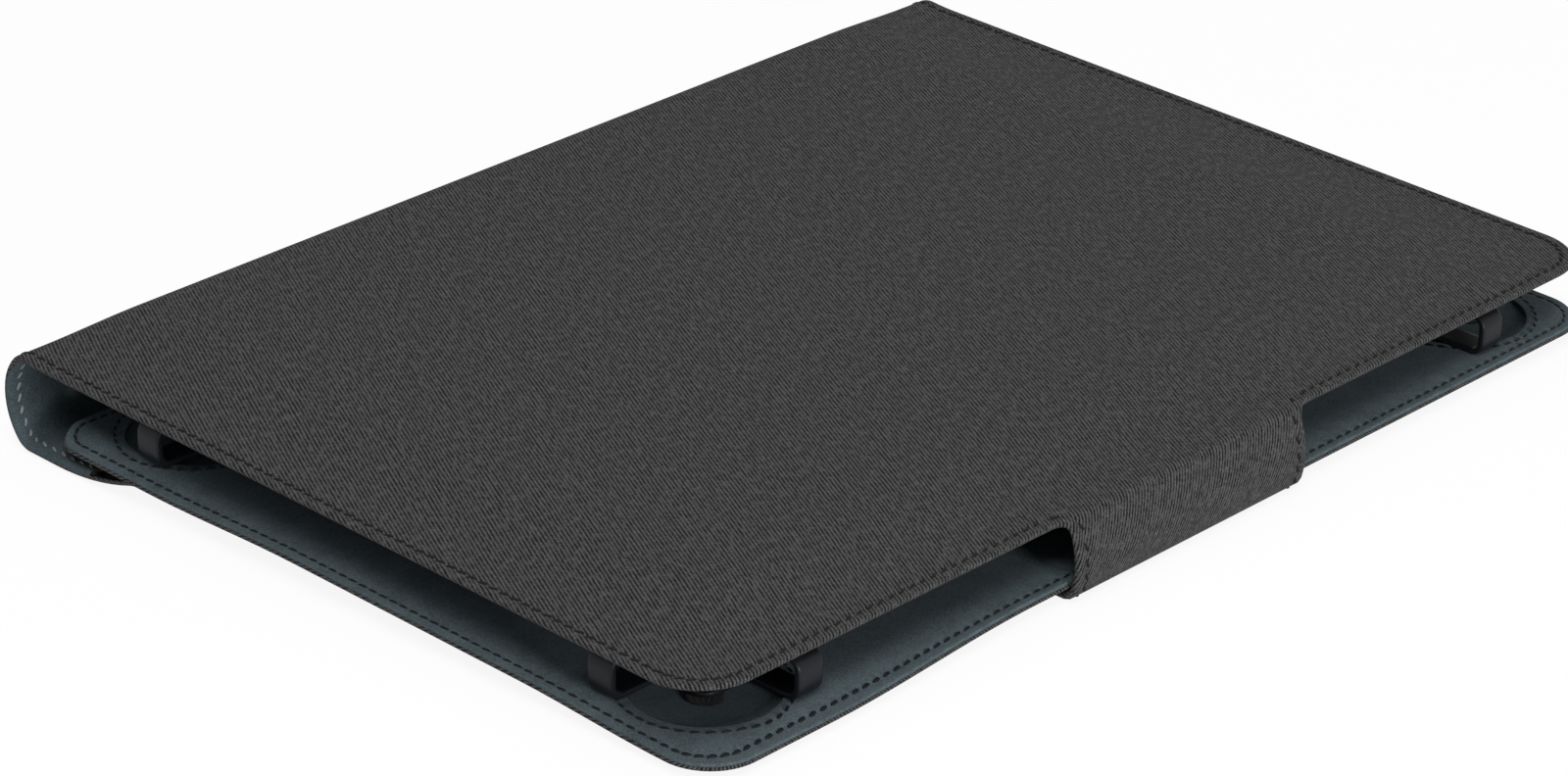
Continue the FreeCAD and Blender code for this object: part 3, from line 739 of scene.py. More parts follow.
def moulded_finish(name, dark, light, smooth, rough, grain):
    """Moulded plastic or rubber: a fine even grain, with a slightly cloudy gloss."""
    finish = Finish(name, Specular_IOR_Level=0.16)
    place = finish.place()
    speck = finish.noise(place, grain, 2.0)
    cloud = finish.noise(place, 90.0, 3.0)
    finish.set(Base_Color=finish.blend(cloud, dark, light))
    gloss = finish.stretch(speck * 0.5 + cloud * 0.5, 0.3, 0.7)
    finish.set(Roughness=smooth + (rough - smooth) * gloss)
    finish.bump(speck, 0.02, 0.4)
    return finish.material


def metal_finish(name, dark, light, smooth, rough):
    """Bare metal: fine lines of rolling along the piece, with a cloudy gloss."""
    finish = Finish(name, Metallic=1.0)
    place = finish.place()
    lined = finish.node("ShaderNodeMapping", {"Vector": place, "Scale": (120.0, 4000.0, 4000.0)})
    lines = finish.noise(lined.outputs[0], 1.0, 2.0)
    cloud = finish.noise(place, 160.0, 3.0)
    finish.set(Base_Color=finish.blend(lines, dark, light), Roughness=smooth + (rough - smooth) * cloud)
    finish.bump(lines, 0.01, 0.3)
    return finish.material


def circuit_finish():
    """Circuit board: green lacquer over a raised net of copper tracks."""
    finish = Finish("circuit_board", Specular_IOR_Level=0.5, Coat_Weight=0.3, Coat_Roughness=0.2)
    place = finish.place()
    tracks = finish.stretch(finish.cells(place, 700.0), 0.35, 0.5)
    cloud = finish.noise(place, 300.0, 2.0)
    finish.set(Base_Color=finish.blend(tracks, (18, 62, 40), (38, 96, 62)), Roughness=0.35 + 0.2 * cloud)
    finish.bump(tracks, 0.03, 0.5)
    return finish.material


def board_finish():
    """Pulp board: brown-grey, with flecks of fibre."""
    finish = Finish("pulp_board", Specular_IOR_Level=0.2)
    place = finish.place()
    fleck = finish.noise(place, 1400.0, 4.0, 0.7)
    cloud = finish.noise(place, 120.0, 2.0)
    finish.set(Base_Color=finish.blend(fleck * 0.6 + cloud * 0.4, (88, 80, 70), (150, 140, 124)))
    finish.set(Roughness=0.9 + 0.08 * fleck)
    finish.bump(fleck, 0.04, 0.5)
    return finish.material


def elastic_finish():
    """Black ribbed elastic: cords along the band, crossed by fine covering yarns."""
    finish = Finish("elastic", Specular_IOR_Level=0.1, Sheen_Weight=0.1)
    along, across = finish.flat()
    cords = (across * 0.9).wave()
    yarns = (along * 2.6).wave()
    finish.set(Base_Color=finish.blend(cords * 0.6 + yarns * 0.4, (10, 10, 11), (24, 24, 26)))
    finish.set(Roughness=0.9 - 0.15 * cords)
    finish.bump(cords * 0.7 + yarns * 0.3, 0.12, 0.6)
    return finish.material


twill = twill_finish()
suede = suede_finish("suede", (40, 47, 50), (90, 102, 106))
# A darker copy of the suede for the lining inside the spine and flap: painted shade, since this lining is one cloth
# with the rest
shaded_suede = suede_finish("shaded_suede", (34, 41, 44), (78, 90, 94))
dark_thread = thread_finish("dark_thread", (12, 12, 13), (40, 40, 41), 0.6, 0.06)
lining_thread = thread_finish("lining_thread", (5, 7, 8), (20, 25, 27), 0.4, 0.14)
grey_thread = thread_finish("grey_thread", (70, 74, 76), (150, 152, 152), 0.45, 0.2)
elastic = elastic_finish()

# Dark and light colour, least and greatest roughness, and for mouldings the fineness of the grain
MOULDINGS = {
    "grip_plastic": ((16, 18, 21), (24, 26, 30), 0.3, 0.46, 2200.0),
    "key_plastic": ((30, 31, 33), (42, 43, 45), 0.5, 0.66, 4200.0),
    "housing_plastic": ((20, 21, 22), (30, 31, 32), 0.45, 0.6, 3000.0),
    "film": ((150, 160, 160), (178, 186, 184), 0.25, 0.4, 1500.0),
    "silicone": ((196, 198, 194), (214, 216, 212), 0.5, 0.7, 2600.0),
    "chip": ((18, 18, 20), (30, 30, 32), 0.5, 0.7, 3600.0),
    "lens": ((190, 200, 196), (222, 228, 224), 0.12, 0.22, 1800.0),
}
METALS = {
    "battery_foil": ((168, 170, 172), (208, 210, 212), 0.28, 0.45),
    "steel": ((150, 150, 152), (196, 196, 198), 0.25, 0.42),
    "magnet": ((172, 172, 170), (204, 204, 202), 0.18, 0.32),
}
finishes = {"pulp_board": board_finish(), "circuit_board": circuit_finish()}
finishes.update({name: moulded_finish(name, *look) for name, look in MOULDINGS.items()})
finishes.update({name: metal_finish(name, *look) for name, look in METALS.items()})

# Slots of the rigid CAD nodes that stay; the keys have the one that is left
SLOT_OF_NODE = {
    "spine_board": "pulp_board", "catch_plate": "steel", "tab_magnets": "magnet", "charging_port": "steel",
    "keyboard_base": "housing_plastic", "keyboard_bezel": "housing_plastic", "membrane_circuit": "film",
    "power_switch": "housing_plastic", "pairing_button": "housing_plastic", "battery": "battery_foil",
    "controller_board": "circuit_board", "controller_chips": "chip", "status_lenses": "lens",
}


def finish_rigid_nodes():
    """Gives each CAD node the finish of its material slot."""
    for name, node in frame["nodes"].items():
        for holder in node.material_slots:
            holder.material = finishes[SLOT_OF_NODE.get(name, "key_plastic")]


# Outlines in plan, from the spine end to the opening end, with normals pointing inward


def cover_edge(side, to_strap=True):
    """One half of the cover's edge: down the side, round the corner and along the front.

    It stops at the strap's root, or else in the middle of the front."""
    front = HALF_LENGTH - COVER_CORNER
    if to_strap:
        front = front - side * STRAP_MIDDLE - ROOT_HALF
    legs = [straight(BACK_LINE - COVER_FRONT - COVER_CORNER), bend(COVER_CORNER, -side * 90), straight(front)]
    return Run((side * HALF_LENGTH, BACK_LINE), -90, legs, side=-side)


def strap_edge(side):
    """The strap's side from its root: a hollow fillet, then straight down to the seam."""
    legs = [bend(ROOT_FILLET, side * 90), straight(COVER_FRONT - ROOT_FILLET - STRAP_SEAM)]
    heading = 180 if side > 0 else 0
    return Run((STRAP_MIDDLE + side * ROOT_HALF, COVER_FRONT), heading, legs, side=-side)


def tab_edge(side):
    """The lower strap's side, the tab's round corner and half of its end."""
    legs = [
        straight(STRAP_SEAM - TAB_END - TAB_CORNER),
        bend(TAB_CORNER, -side * 90),
        straight(STRAP_HALF - TAB_CORNER),
    ]
    return Run((STRAP_MIDDLE + side * STRAP_HALF, STRAP_SEAM), -90, legs, side=-side)


def end_edge(side, start, stop):
    """A straight end of the spine's cloth between two flat places."""
    return Run((side * HALF_LENGTH, start), 90, [straight(stop - start)], side=side)


def plate_edge(side, low, high, back_corner, front_corner):
    """One half of a round-cornered plate's edge, from the middle of its spine side to that of its front."""
    middle, half = (low[0] + high[0]) / 2, (high[0] - low[0]) / 2
    legs = [
        straight(half - back_corner),
        bend(back_corner, -side * 90),
        straight(high[1] - low[1] - back_corner - front_corner),
        bend(front_corner, -side * 90),
        straight(half - front_corner),
    ]
    return Run((middle, high[1]), 0 if side > 0 else 180, legs, side=-side)


def panel_edge(side, inset=0.0):
    """One half of the back panel's edge, set in by so much."""
    corners = PANEL_BACK_CORNER - inset, PANEL_FRONT_CORNER - inset
    return plate_edge(side, panel_low + inset, panel_high - inset, *corners)


def circle(place, radius):
    """A round run in plan, with its normal pointing outward."""
    return Run((place[0] + radius, place[1]), 90, [bend(radius, 360)], side=-1)


# Sheets and boards


def raised(level):
    """Places a flat piece at a level, its height measured up from there."""
    return lambda flat, height: lifted(flat, level + height)


def rimmed(place, edges, rim, columns, spacing=5.0, degrees=7.5, legs=(0, None), stops=None):
    """Grids of a sheet: a rim carried along each of its two edges, and a ruled middle between the rims.

    rim gives a profile for the flat y of an edge's points. The middle spans the edges from the start of one
    leg to the start of another, or to their ends. stops are distances along the edges, not evenly stepped."""
    grids, insides = [], []
    for edge in edges:
        steps = edge.steps(spacing, degrees) if stops is None else stops
        points, inward = edge.at(steps)
        flat, rise, cloth = carried(points, inward, rim(points[:, 1]))
        grids.append(laid(place, flat, rise, cloth))
        first, last = edge.begins[legs[0]], edge.length if legs[1] is None else edge.begins[legs[1]]
        insides.append(flat[(steps >= first - TINY) & (steps <= last + TINY), -1])
    return grids + [laid(place, between(*insides, columns), 0.0)]


BOARD_MARGIN = 0.9
BOARD_EASE = 0.2
BOARD_OVER_FOLD = 4.0
BOARD_CLEAR = 0.1
PANEL_BOARD_CLEAR = 0.05
PANEL_BOARD_MARGIN = 0.4
HOLE_CLEAR = 0.6
SMALL_CORNER = 1.2
CARD_INSET = 1.5
CARD_SHORT = 0.8


def board_rim(thickness, margin):
    """Inset and height of a board's edge: underside, eased corners, upright side and top."""
    ease_off = min(BOARD_EASE, thickness / 3)
    inset = np.array([margin, ease_off, ease_off * 0.3, 0.0, 0.0, ease_off * 0.3, ease_off, margin])
    up = np.array([0.0, 0.0, ease_off * 0.3, ease_off])
    return inset[None], np.concatenate([up, thickness - up[::-1]])[None]


def board_grids(low, high, back_corner, front_corner):
    """A flat board with a round-cornered outline: its rim, and a ruled sheet above and below."""
    grids, lower, upper = [], [], []
    place, profile = raised(low[2]), board_rim(high[2] - low[2], BOARD_MARGIN)
    for side in SIDES:
        edge = plate_edge(side, low, high, back_corner, front_corner)
        steps = edge.steps(12.0, 11.25)
        flat, rise, cloth = carried(*edge.at(steps), profile)
        grids.append(laid(place, flat, rise, cloth))
        sides = (steps >= edge.begins[1] - TINY) & (steps <= edge.begins[4] + TINY)
        lower.append(flat[sides, 0])
        upper.append(flat[sides, -1])
    grids.append(laid(place, between(*lower, 12), 0.0))
    grids.append(laid(place, between(*upper, 12), high[2] - low[2]))
    return grids


def settle(piece, body, node, slot):
    """Fixes a piece to its body, in place of a CAD node and with its material slot."""
    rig.ride(piece, body)
    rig.replaces(piece, node)
    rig.slot(piece, slot)


def cover_cloth():
    """The cover's outer cloth: two edge strips round its corners and a crowned middle."""
    edges = [cover_edge(side) for side in SIDES]
    grids = rimmed(on_cover, edges, lambda flat_y: cloth_rim(COVER_EDGE), 80, legs=(0, 2))
    piece = make_piece("cover_cloth", grids, twill, facing=(0, 0, 1))
    settle(piece, "cover", "cover_twill", "twill")
    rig.sheet(piece, flat=(0.2578, 0.1782), held="stretched", rests_on=["cover_board"])


def cover_suede():
    """The cover's lining on its underside, set in from the turned cloth."""
    edges = [cover_edge(side, to_strap=False) for side in SIDES]
    grids = rimmed(under_cover, edges, lambda flat_y: suede_rim(COVER_EDGE), 50, legs=(0, 2))
    piece = make_piece("cover_suede", grids, suede, facing=(0, 0, -1))
    settle(piece, "cover", "cover_lining", "suede")
    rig.sheet(piece, flat=(0.2502, 0.1722), held="laid", rests_on=["cover_board"])


# Lines in metres along which cloth turns from one body to the next
STRAP_TURN = {"start": (0, -0.0905, 0.0200), "end": (0, -0.0940, 0.0178)}
TAB_TURN = {"start": (0, -0.0952, 0.0075), "end": (0, -0.0921, 0.0036)}
COVER_TURN = {"start": (0, 0.0880, 0.0213), "end": (0, 0.0935, 0.0170)}
FLAP_TURN = {"start": (0, 0.0922, 0.0017), "end": (0, 0.0860, 0.0002)}


def strap_sheet(name, place, rim, material, facing):
    """The strap's upper half: hollow fillets at its root, side rims and the sheet between."""
    edges = [strap_edge(side) for side in SIDES]
    grids = rimmed(place, edges, lambda flat_y: rim(strap_thickness(flat_y)), 24, 1.6, 9.0)
    return make_piece(name, grids, material, facing)


def tab_sheet(name, place, rim, material, facing):
    """The strap's lower half and the tab: side rims, round end and the sheet between."""
    edges = [tab_edge(side) for side in SIDES]
    grids = rimmed(place, edges, lambda flat_y: rim(STRAP_THICKNESS), 24, 1.4, 9.0, legs=(0, 2))
    return make_piece(name, grids, material, facing)


# Length of each flat as a share of the strap's: cloth turns in at its ends, suede runs inside the bends
STRAP_CUT = {"strap_cloth": 1.11, "strap_suede": 0.9, "tab_cloth": 1.14, "tab_suede": 0.83}


def turned(piece, bodies, turn, node, slot, flat, board):
    """Lets a stretched sheet turn from one body to the next, in place of a CAD node."""
    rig.blend(piece, *bodies, **turn)
    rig.replaces(piece, node)
    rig.slot(piece, slot)
    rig.sheet(piece, flat=flat, held="stretched", rests_on=[board])


def strap_pieces():
    """Outer cloth and suede of the closing strap, above and below the seam half way down."""
    for half, make, deep, bodies, turn, board, up in (
        ("strap", strap_sheet, FRONT_LINE - STRAP_SEAM, ("cover", "strap"), STRAP_TURN, "cover_cloth", 1),
        ("tab", tab_sheet, STRAP_SEAM - TAB_END, ("strap", "tab"), TAB_TURN, "tab_card", -1),
    ):
        cloth = make(half + "_cloth", on_strap, cloth_rim, twill, (0, -1, up))
        lining = make(half + "_suede", in_strap, suede_rim, suede, (0, 1, -up))
        for piece, node, slot in ((cloth, half + "_twill", "twill"), (lining, half + "_lining", "suede")):
            flat = 2 * STRAP_HALF * MM, deep * MM * STRAP_CUT[piece.name]
            turned(piece, bodies, turn, node, slot, flat, board)


SHORT_STEP = 0.1


def spine_rim(rim, flat_y):
    """A rim at the spine's end, as thick as the spine is there, and wrapped only beside the cover."""
    return rim(spine_thickness(flat_y) - EDGE_DROP * over_fold(flat_y), over_fold(flat_y))


def spine_sheet(name, start, stop, place, rim, material, facing):
    """A length of the spine's cloth between two flat places, stepped like the spine's run."""
    steps = spine_run.steps(3.0, 5.0) + BACK_LINE
    steps = steps[(steps > start + SHORT_STEP) & (steps < stop - SHORT_STEP)]
    stops = np.concatenate([[start], steps, [stop]]) - start
    edges = [end_edge(side, start, stop) for side in SIDES]
    grids = rimmed(place, edges, lambda flat_y: spine_rim(rim, flat_y), 60, stops=stops)
    return make_piece(name, grids, material, facing)


# Width of the spine's cloth with its turned-in ends, and how much shorter the lining is inside each bend
SPINE_CUT = 255.4
INSIDE_BEND = 3.4


def spine_pieces():
    """Outer cloth and suede of the spine and the back flap, above and below the seam half way down."""
    for half, start, stop, lining_stop, bodies, turn, board, up in (
        ("spine", BACK_LINE, SPINE_SEAM, SPINE_SEAM, ("cover", "spine"), COVER_TURN, "spine_board", 1),
        ("flap", SPINE_SEAM, FLAP_END, FLAP_STOP, ("spine", "holder"), FLAP_TURN, "flap_board", -1),
    ):
        cloth = spine_sheet(half + "_cloth", start, stop, on_spine, cloth_rim, twill, (0, 1, up))
        flat = SPINE_CUT * MM, (stop - start) * MM
        turned(cloth, bodies, turn, half + "_twill", "twill", flat, board)
        # The lining here takes the darker copy of the suede, whose colour paints the shade inside the spine
        look = in_spine, suede_rim, shaded_suede
        lining = spine_sheet(half + "_suede", start, lining_stop, *look, (0, -1, -up))
        flat = SPINE_CUT * MM, (lining_stop - start - INSIDE_BEND) * MM
        turned(lining, bodies, turn, half + "_lining", "suede", flat, board)


# How far the panel's rim gives at its near corner and far left end, and the share of it that the board takes
GIVE_OUT, GIVE_DOWN, FAR_DOWN = 1.9, 1.0, 1.2
BOARD_GIVE = 0.8


def sag(piece, share=1.0):
    """Lets the panel's rim give: out and down by the near corner, and down at the far left end.

    Both fade by smooth steps, along the edge and inward across the rim. The share, 0 to 1, says how far each
    point goes along: the board is only pressed thinner from above."""
    places = np.empty(len(piece.data.vertices) * 3)
    piece.data.vertices.foreach_get("co", places)
    places = places.reshape(-1, 3)
    from_end, from_front = places[:, 0] / MM + HALF_LENGTH, places[:, 1] / MM - panel_low[1]
    corner = PANEL_FRONT_CORNER
    inset = corner - np.hypot(np.clip(corner - from_end, 0, None), np.clip(corner - from_front, 0, None))
    near = (1 - ease(from_end, 30.0, 85.0)) * (1 - ease(from_front, 14.0, 45.0)) * (1 - ease(inset, 0.5, 5.0))
    far = (1 - ease(from_end, 1.0, 7.0)) * ease(from_front, 105.0, 145.0)
    places[:, 1] -= GIVE_OUT * MM * near * share
    places[:, 2] -= (GIVE_DOWN * MM * near + FAR_DOWN * MM * far) * share
    piece.data.vertices.foreach_set("co", places.ravel())
    piece.data.update()


def panel_cloth():
    """The back panel's outer cloth: its underside and a rim turned up over the board."""
    edges = [panel_edge(side) for side in SIDES]
    grids = rimmed(under_panel, edges, lambda flat_y: cloth_rim(PANEL_CLOTH - PANEL_RISE), 50, legs=(1, 4))
    piece = make_piece("panel_cloth", grids, twill, facing=(0, 0, -1))
    sag(piece)
    settle(piece, "holder", "panel_twill", "twill")
    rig.sheet(piece, flat=(0.2560, 0.1756), held="stretched", rests_on=["panel_board"])


def lining_rim(thickness, width):
    """Inset and height of the panel lining's edge: straight side, small round and the sewn top."""
    roll = 0.25
    angle = np.linspace(0, np.pi / 2, 6)
    top_inset = np.linspace(0.5, width, 16)
    inset = np.concatenate([[0.0], roll * (1 - np.cos(angle)), top_inset])
    top = thickness + groove(top_inset, PANEL_STITCH)
    height = np.concatenate([[0.0], thickness - roll + roll * np.sin(angle), top])
    return inset[None], height[None]


def panel_suede():
    """The panel's lining: a sewn rim outside, a sewn ring round each cut-out and a flat fill between them."""
    base, thickness = lining_low[2], lining_high[2] - lining_low[2]
    on_panel = raised(base)
    grids = []
    for side in SIDES:
        edge = panel_edge(side, SUEDE_INSET)
        grids.append(laid(on_panel, *carried(*edge.at(edge.steps(5.0)), lining_rim(thickness, LINING_RIM))))
    for place in CUTOUT_PLACES:
        edge = circle(place, CUTOUT_RADIUS)
        ring = edge.at(edge.steps(9.0, 5.0))
        grids.append(laid(on_panel, *carried(*ring, lining_rim(thickness, RING_WIDTH))))
    piece = make_piece("panel_suede", grids, suede)
    fill_flat(piece, base + thickness, facing=(0, 0, 1))
    sag(piece)
    settle(piece, "holder", "panel_lining", "suede")
    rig.sheet(piece, flat=(0.2526, 0.1722), held="laid", rests_on=["panel_board"])


SAME_LEVEL = 2e-5


def fill_flat(piece, level, facing=None):
    """Closes the flat inside of a piece whose open inner edges lie at one level, round its holes.

    Triangles join the edges' ends; one is kept if a line from its middle crosses an odd number of edges."""
    shell = bmesh.new()
    shell.from_mesh(piece.data)
    rims = [
        edge for edge in shell.edges
        if edge.is_boundary and all(abs(corner.co.z - level * MM) < SAME_LEVEL for corner in edge.verts)
    ]
    corners = list(dict.fromkeys(corner for edge in rims for corner in edge.verts))
    number = {corner: place for place, corner in enumerate(corners)}
    pairs = [[number[corner] for corner in edge.verts] for edge in rims]
    spots = [corner.co.xy for corner in corners]
    filled = delaunay_2d_cdt(spots, pairs, [], 1, 1e-7)
    triangles = np.array([[filled[3][corner][0] for corner in triangle] for triangle in filled[2]])
    flat = np.array([spot[:] for spot in spots])
    middles = flat[triangles].mean(1)[:, None]
    starts, ends = flat[pairs].swapaxes(0, 1)
    x, y = np.moveaxis(ends - starts, -1, 0)
    from_x, from_y = np.moveaxis(middles - starts, -1, 0)
    level_with = (starts[:, 1] > middles[..., 1]) != (ends[:, 1] > middles[..., 1])
    crossed = level_with & ((x * from_y > y * from_x) == (y > 0))
    for triangle in triangles[crossed.sum(1) % 2 == 1]:
        shell.faces.new([corners[corner] for corner in triangle])
    bmesh.ops.recalc_face_normals(shell, faces=shell.faces)
    shell.to_mesh(piece.data)
    shell.free()
    turn_faces(piece.data, facing)


PATCH_DISH = 0.08


def recess_suede():
    """A suede patch in the bottom of each cut-out: a disc, slightly dished, turned down at its edge."""
    grids = []
    radius = patch_high[0] - CUTOUT_PLACES[1][0]
    out = np.linspace(0, 1, 14)
    drop = np.append(PATCH_DISH * out ** 2 - PATCH_DISH, patch_low[2] - patch_high[2])
    ring = compass(np.linspace(0, 2 * np.pi, 49))
    for place in CUTOUT_PLACES:
        flat = np.array(place) + ring[:, None, :] * (radius * np.append(out, 1.0))[None, :, None]
        grids.append((lifted(flat, patch_high[2] + drop), flat))
    piece = make_piece("recess_suede", grids, suede, facing=(0, 0, 1))
    sag(piece)
    settle(piece, "holder", "recess_patches", "suede")
    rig.sheet(piece, flat=(0.058, 0.058), area=math.pi * 0.029 ** 2, held="laid", rests_on=["panel_board"])


def inner_boards():
    """Stiff boards that show only where the cloth is opened: the cover's board and the tab's card."""
    low, high = node_box("cover_board")
    low[:2] = [BOARD_INSET - HALF_LENGTH, COVER_FRONT + BOARD_INSET]
    high[:] = [HALF_LENGTH - BOARD_INSET, BACK_LINE + BOARD_OVER_FOLD, COVER_TOP - EDGE_DROP - BOARD_CLEAR]
    grids = board_grids(low, high, SMALL_CORNER, COVER_CORNER - BOARD_INSET)
    settle(make_piece("cover_stiffener", grids, finishes["pulp_board"]), "cover", "cover_board", "pulp_board")
    low, high = node_box("tab_card")
    low[:2] = [STRAP_LEFT + CARD_INSET, COVER_FRONT]
    high[:2] = [STRAP_RIGHT - CARD_INSET, high[1] - CARD_SHORT]
    grids = board_grids(low, high, TAB_CORNER - CARD_INSET, SMALL_CORNER)
    settle(make_piece("tab_stiffener", grids, finishes["pulp_board"]), "tab", "tab_card", "pulp_board")


def flap_stiffener():
    """The back flap's board: a thin oblong section with eased corners, carried along the flap's curve.

    The section is given point by point: the side it lies on, how far it is eased in, and its depth."""
    half = node_box("flap_board")[1][0]
    along = np.linspace(BACK_LINE + spine_run.begins[4] + 1.0, FLAP_STOP - 1.0, 16)
    along = np.concatenate([along[:1], along, along[-1:]])
    full = np.concatenate([[0.0], np.ones(16), [0.0]])[:, None]
    eased = np.array([1, -1, 0, 0, -1, 1, 0, 0, 1]) * 0.1
    side = np.array([-1, 1, 1, 1, 1, -1, -1, -1, -1]) * half + eased
    depth = np.array([0.5, 0.5, 0.6, 1.2, 1.3, 1.3, 1.2, 0.6, 0.5])
    middle = 0.9
    flat = np.stack([full * side, along[:, None] + 0 * side], -1)
    grid = on_spine(flat, -middle - full * (depth - middle))
    piece = make_piece("flap_stiffener", [(grid, flat)], finishes["pulp_board"])
    settle(piece, "holder", "flap_board", "pulp_board")


def panel_stiffener():
    """The panel's board, with a round hole for each recess, its flats filled between outline and holes."""
    low, high = node_box("panel_board")
    low[2] = panel_low[2] + PANEL_RISE + PANEL_BOARD_CLEAR
    place, profile = raised(low[2]), board_rim(high[2] - low[2], PANEL_BOARD_MARGIN)
    outlines = [panel_edge(side, PANEL_BOARD_INSET) for side in SIDES]
    holes = [circle(centre, CUTOUT_RADIUS + HOLE_CLEAR) for centre in CUTOUT_PLACES]
    grids = [laid(place, *carried(*edge.at(edge.steps(5.0)), profile)) for edge in outlines]
    grids += [laid(place, *carried(*edge.at(edge.steps(9.0, 7.5)), profile)) for edge in holes]
    piece = make_piece("panel_stiffener", grids, finishes["pulp_board"])
    fill_flat(piece, low[2])
    fill_flat(piece, high[2])
    heights = np.array([vertex.co.z for vertex in piece.data.vertices]) / MM
    sag(piece, BOARD_GIVE * (heights - low[2]) / (high[2] - low[2]))
    settle(piece, "holder", "panel_board", "pulp_board")


# Corner grips and their elastics


# Each corner's name and the way that leads out to it, in the order of the cut-outs
CORNERS = [
    (y + "_" + x, np.array([sx, sy]))
    for y, sy in (("front", -1), ("back", 1))
    for x, sx in (("left", -1), ("right", 1))
]
BAND_WIDTH = 7.0
BAND_RIB = 1.1
BAND_START, BAND_STRAIGHT, BAND_TIP = -13.5, 2.5, 3.5
BAND_HELD, BAND_PULLED = 12.0, 2.0


def squared(wave, power):
    """A wave from -1 to 1 made squarer, so that a turned circle becomes a flat oval."""
    return np.sign(wave) * np.abs(wave) ** power


def elastic_bands():
    """The four ribbed elastics under the grips: a flat oval section along a diagonal, with a round tip."""
    for (corner, away), centre in zip(CORNERS, CUTOUT_PLACES):
        node = "elastic_" + corner
        low, high = node_box(node)
        outward = away / math.sqrt(2)
        across = np.array([-outward[1], outward[0]])
        angle = np.linspace(0, 2 * np.pi, 41)
        side = BAND_WIDTH / 2 * squared(np.cos(angle), 0.35)
        rise = (high[2] - low[2]) / 2 * squared(np.sin(angle), 0.6)
        rise = rise * (0.86 + 0.14 * np.cos(side * 2 * np.pi / BAND_RIB))
        tip = BAND_STRAIGHT + BAND_TIP * np.sin(np.arange(1, 9) * np.pi / 16)
        along = np.concatenate([[BAND_START], np.linspace(BAND_START, BAND_STRAIGHT, 34), tip])
        past = np.clip(along - BAND_STRAIGHT, 0, None) / BAND_TIP
        full = np.sqrt(np.clip(1 - past ** 2, 0, 1)) * (np.arange(len(along)) > 0)
        flat = np.array(centre) + along[:, None, None] * outward + (full[:, None] * side)[..., None] * across
        grid = lifted(flat, (low[2] + high[2]) / 2 + full[:, None] * rise)
        cloth = np.stack(np.broadcast_arrays(along[:, None], side[None, :]), -1)
        piece = make_piece(node + "_band", [(grid, cloth)], elastic)
        start = np.append(centre - BAND_HELD * outward, high[2]) * MM
        end = np.append(centre + BAND_PULLED * outward, high[2]) * MM
        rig.blend(piece, "holder", "grip_" + corner, tuple(start), tuple(end))
        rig.replaces(piece, node)
        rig.slot(piece, "elastic")


HOOK_WIDTH = 6.1
HOOK_OFFSET = 9.7
HOOK_REACH = 16.4
HOOK_LIP = 5.4
HOOK_WALL = 1.6
FOOT_BEND, LIP_BEND = 2.6, 2.2
GRIP_HEIGHT = 9.0
PLATE_OUT, PLATE_IN = 4.0, 12.75
PLATE_THICKNESS = 1.1
PLATE_LOW, PLATE_HIGH = 0.05, 1.05
PLATE_CORNER = 3.0
HUB_RADIUS = 4.0
HUB_EASE = 0.3, 0.2
HUB_SINK = 0.5


def hook_band(centre, outward, across, low, high):
    """A hook: a flat oval section carried out along the plate, up the side and back over as a lip.

    Its line is a run of three straights and two round bends; both ends close to a rounded point."""
    half = HOOK_WALL / 2
    rise = high - low - PLATE_THICKNESS / 2 - FOOT_BEND - LIP_BEND - half
    legs = [
        straight(HOOK_REACH - half - FOOT_BEND), bend(FOOT_BEND, 90), straight(rise),
        bend(LIP_BEND, 90), straight(HOOK_LIP - half - LIP_BEND),
    ]
    run = Run((0.0, low + PLATE_THICKNESS / 2), 0, legs)
    ends = np.array([0.0, 0.15, 0.4, 0.7, 1.0])
    steps = np.concatenate([ends[:-1], run.steps(2.0, 9.0)[1:-1], run.length - ends[::-1]])
    steps = np.unique(np.round(np.clip(steps, 0, run.length), 4))
    from_end = np.round(np.minimum(steps, run.length - steps), 3)
    close = np.sqrt(np.clip(1 - (1 - from_end) ** 2, 0, 1)) * (from_end < 1) + (from_end >= 1)
    thick = np.interp(steps, run.begins[:4] + run.lengths[:4] / 2, [0.55, 0.7, 0.8, 0.65]) * close
    wide = HOOK_WIDTH / 2 * (0.55 + 0.45 * close) * (close > 0)
    angle = np.linspace(0, 2 * np.pi, 37)
    side, face = squared(np.cos(angle), 0.22), squared(np.sin(angle), 0.45)
    points, normals = run.at(steps)
    place = points[:, None, :] + normals[:, None, :] * (thick[:, None] * face)[..., None]
    aside = wide[:, None] * side - HOOK_OFFSET
    flat = np.array(centre) + place[..., :1] * outward + aside[..., None] * across
    return np.concatenate([flat, place[..., 1:]], -1), np.stack([steps[:, None] + 0 * aside, aside], -1)


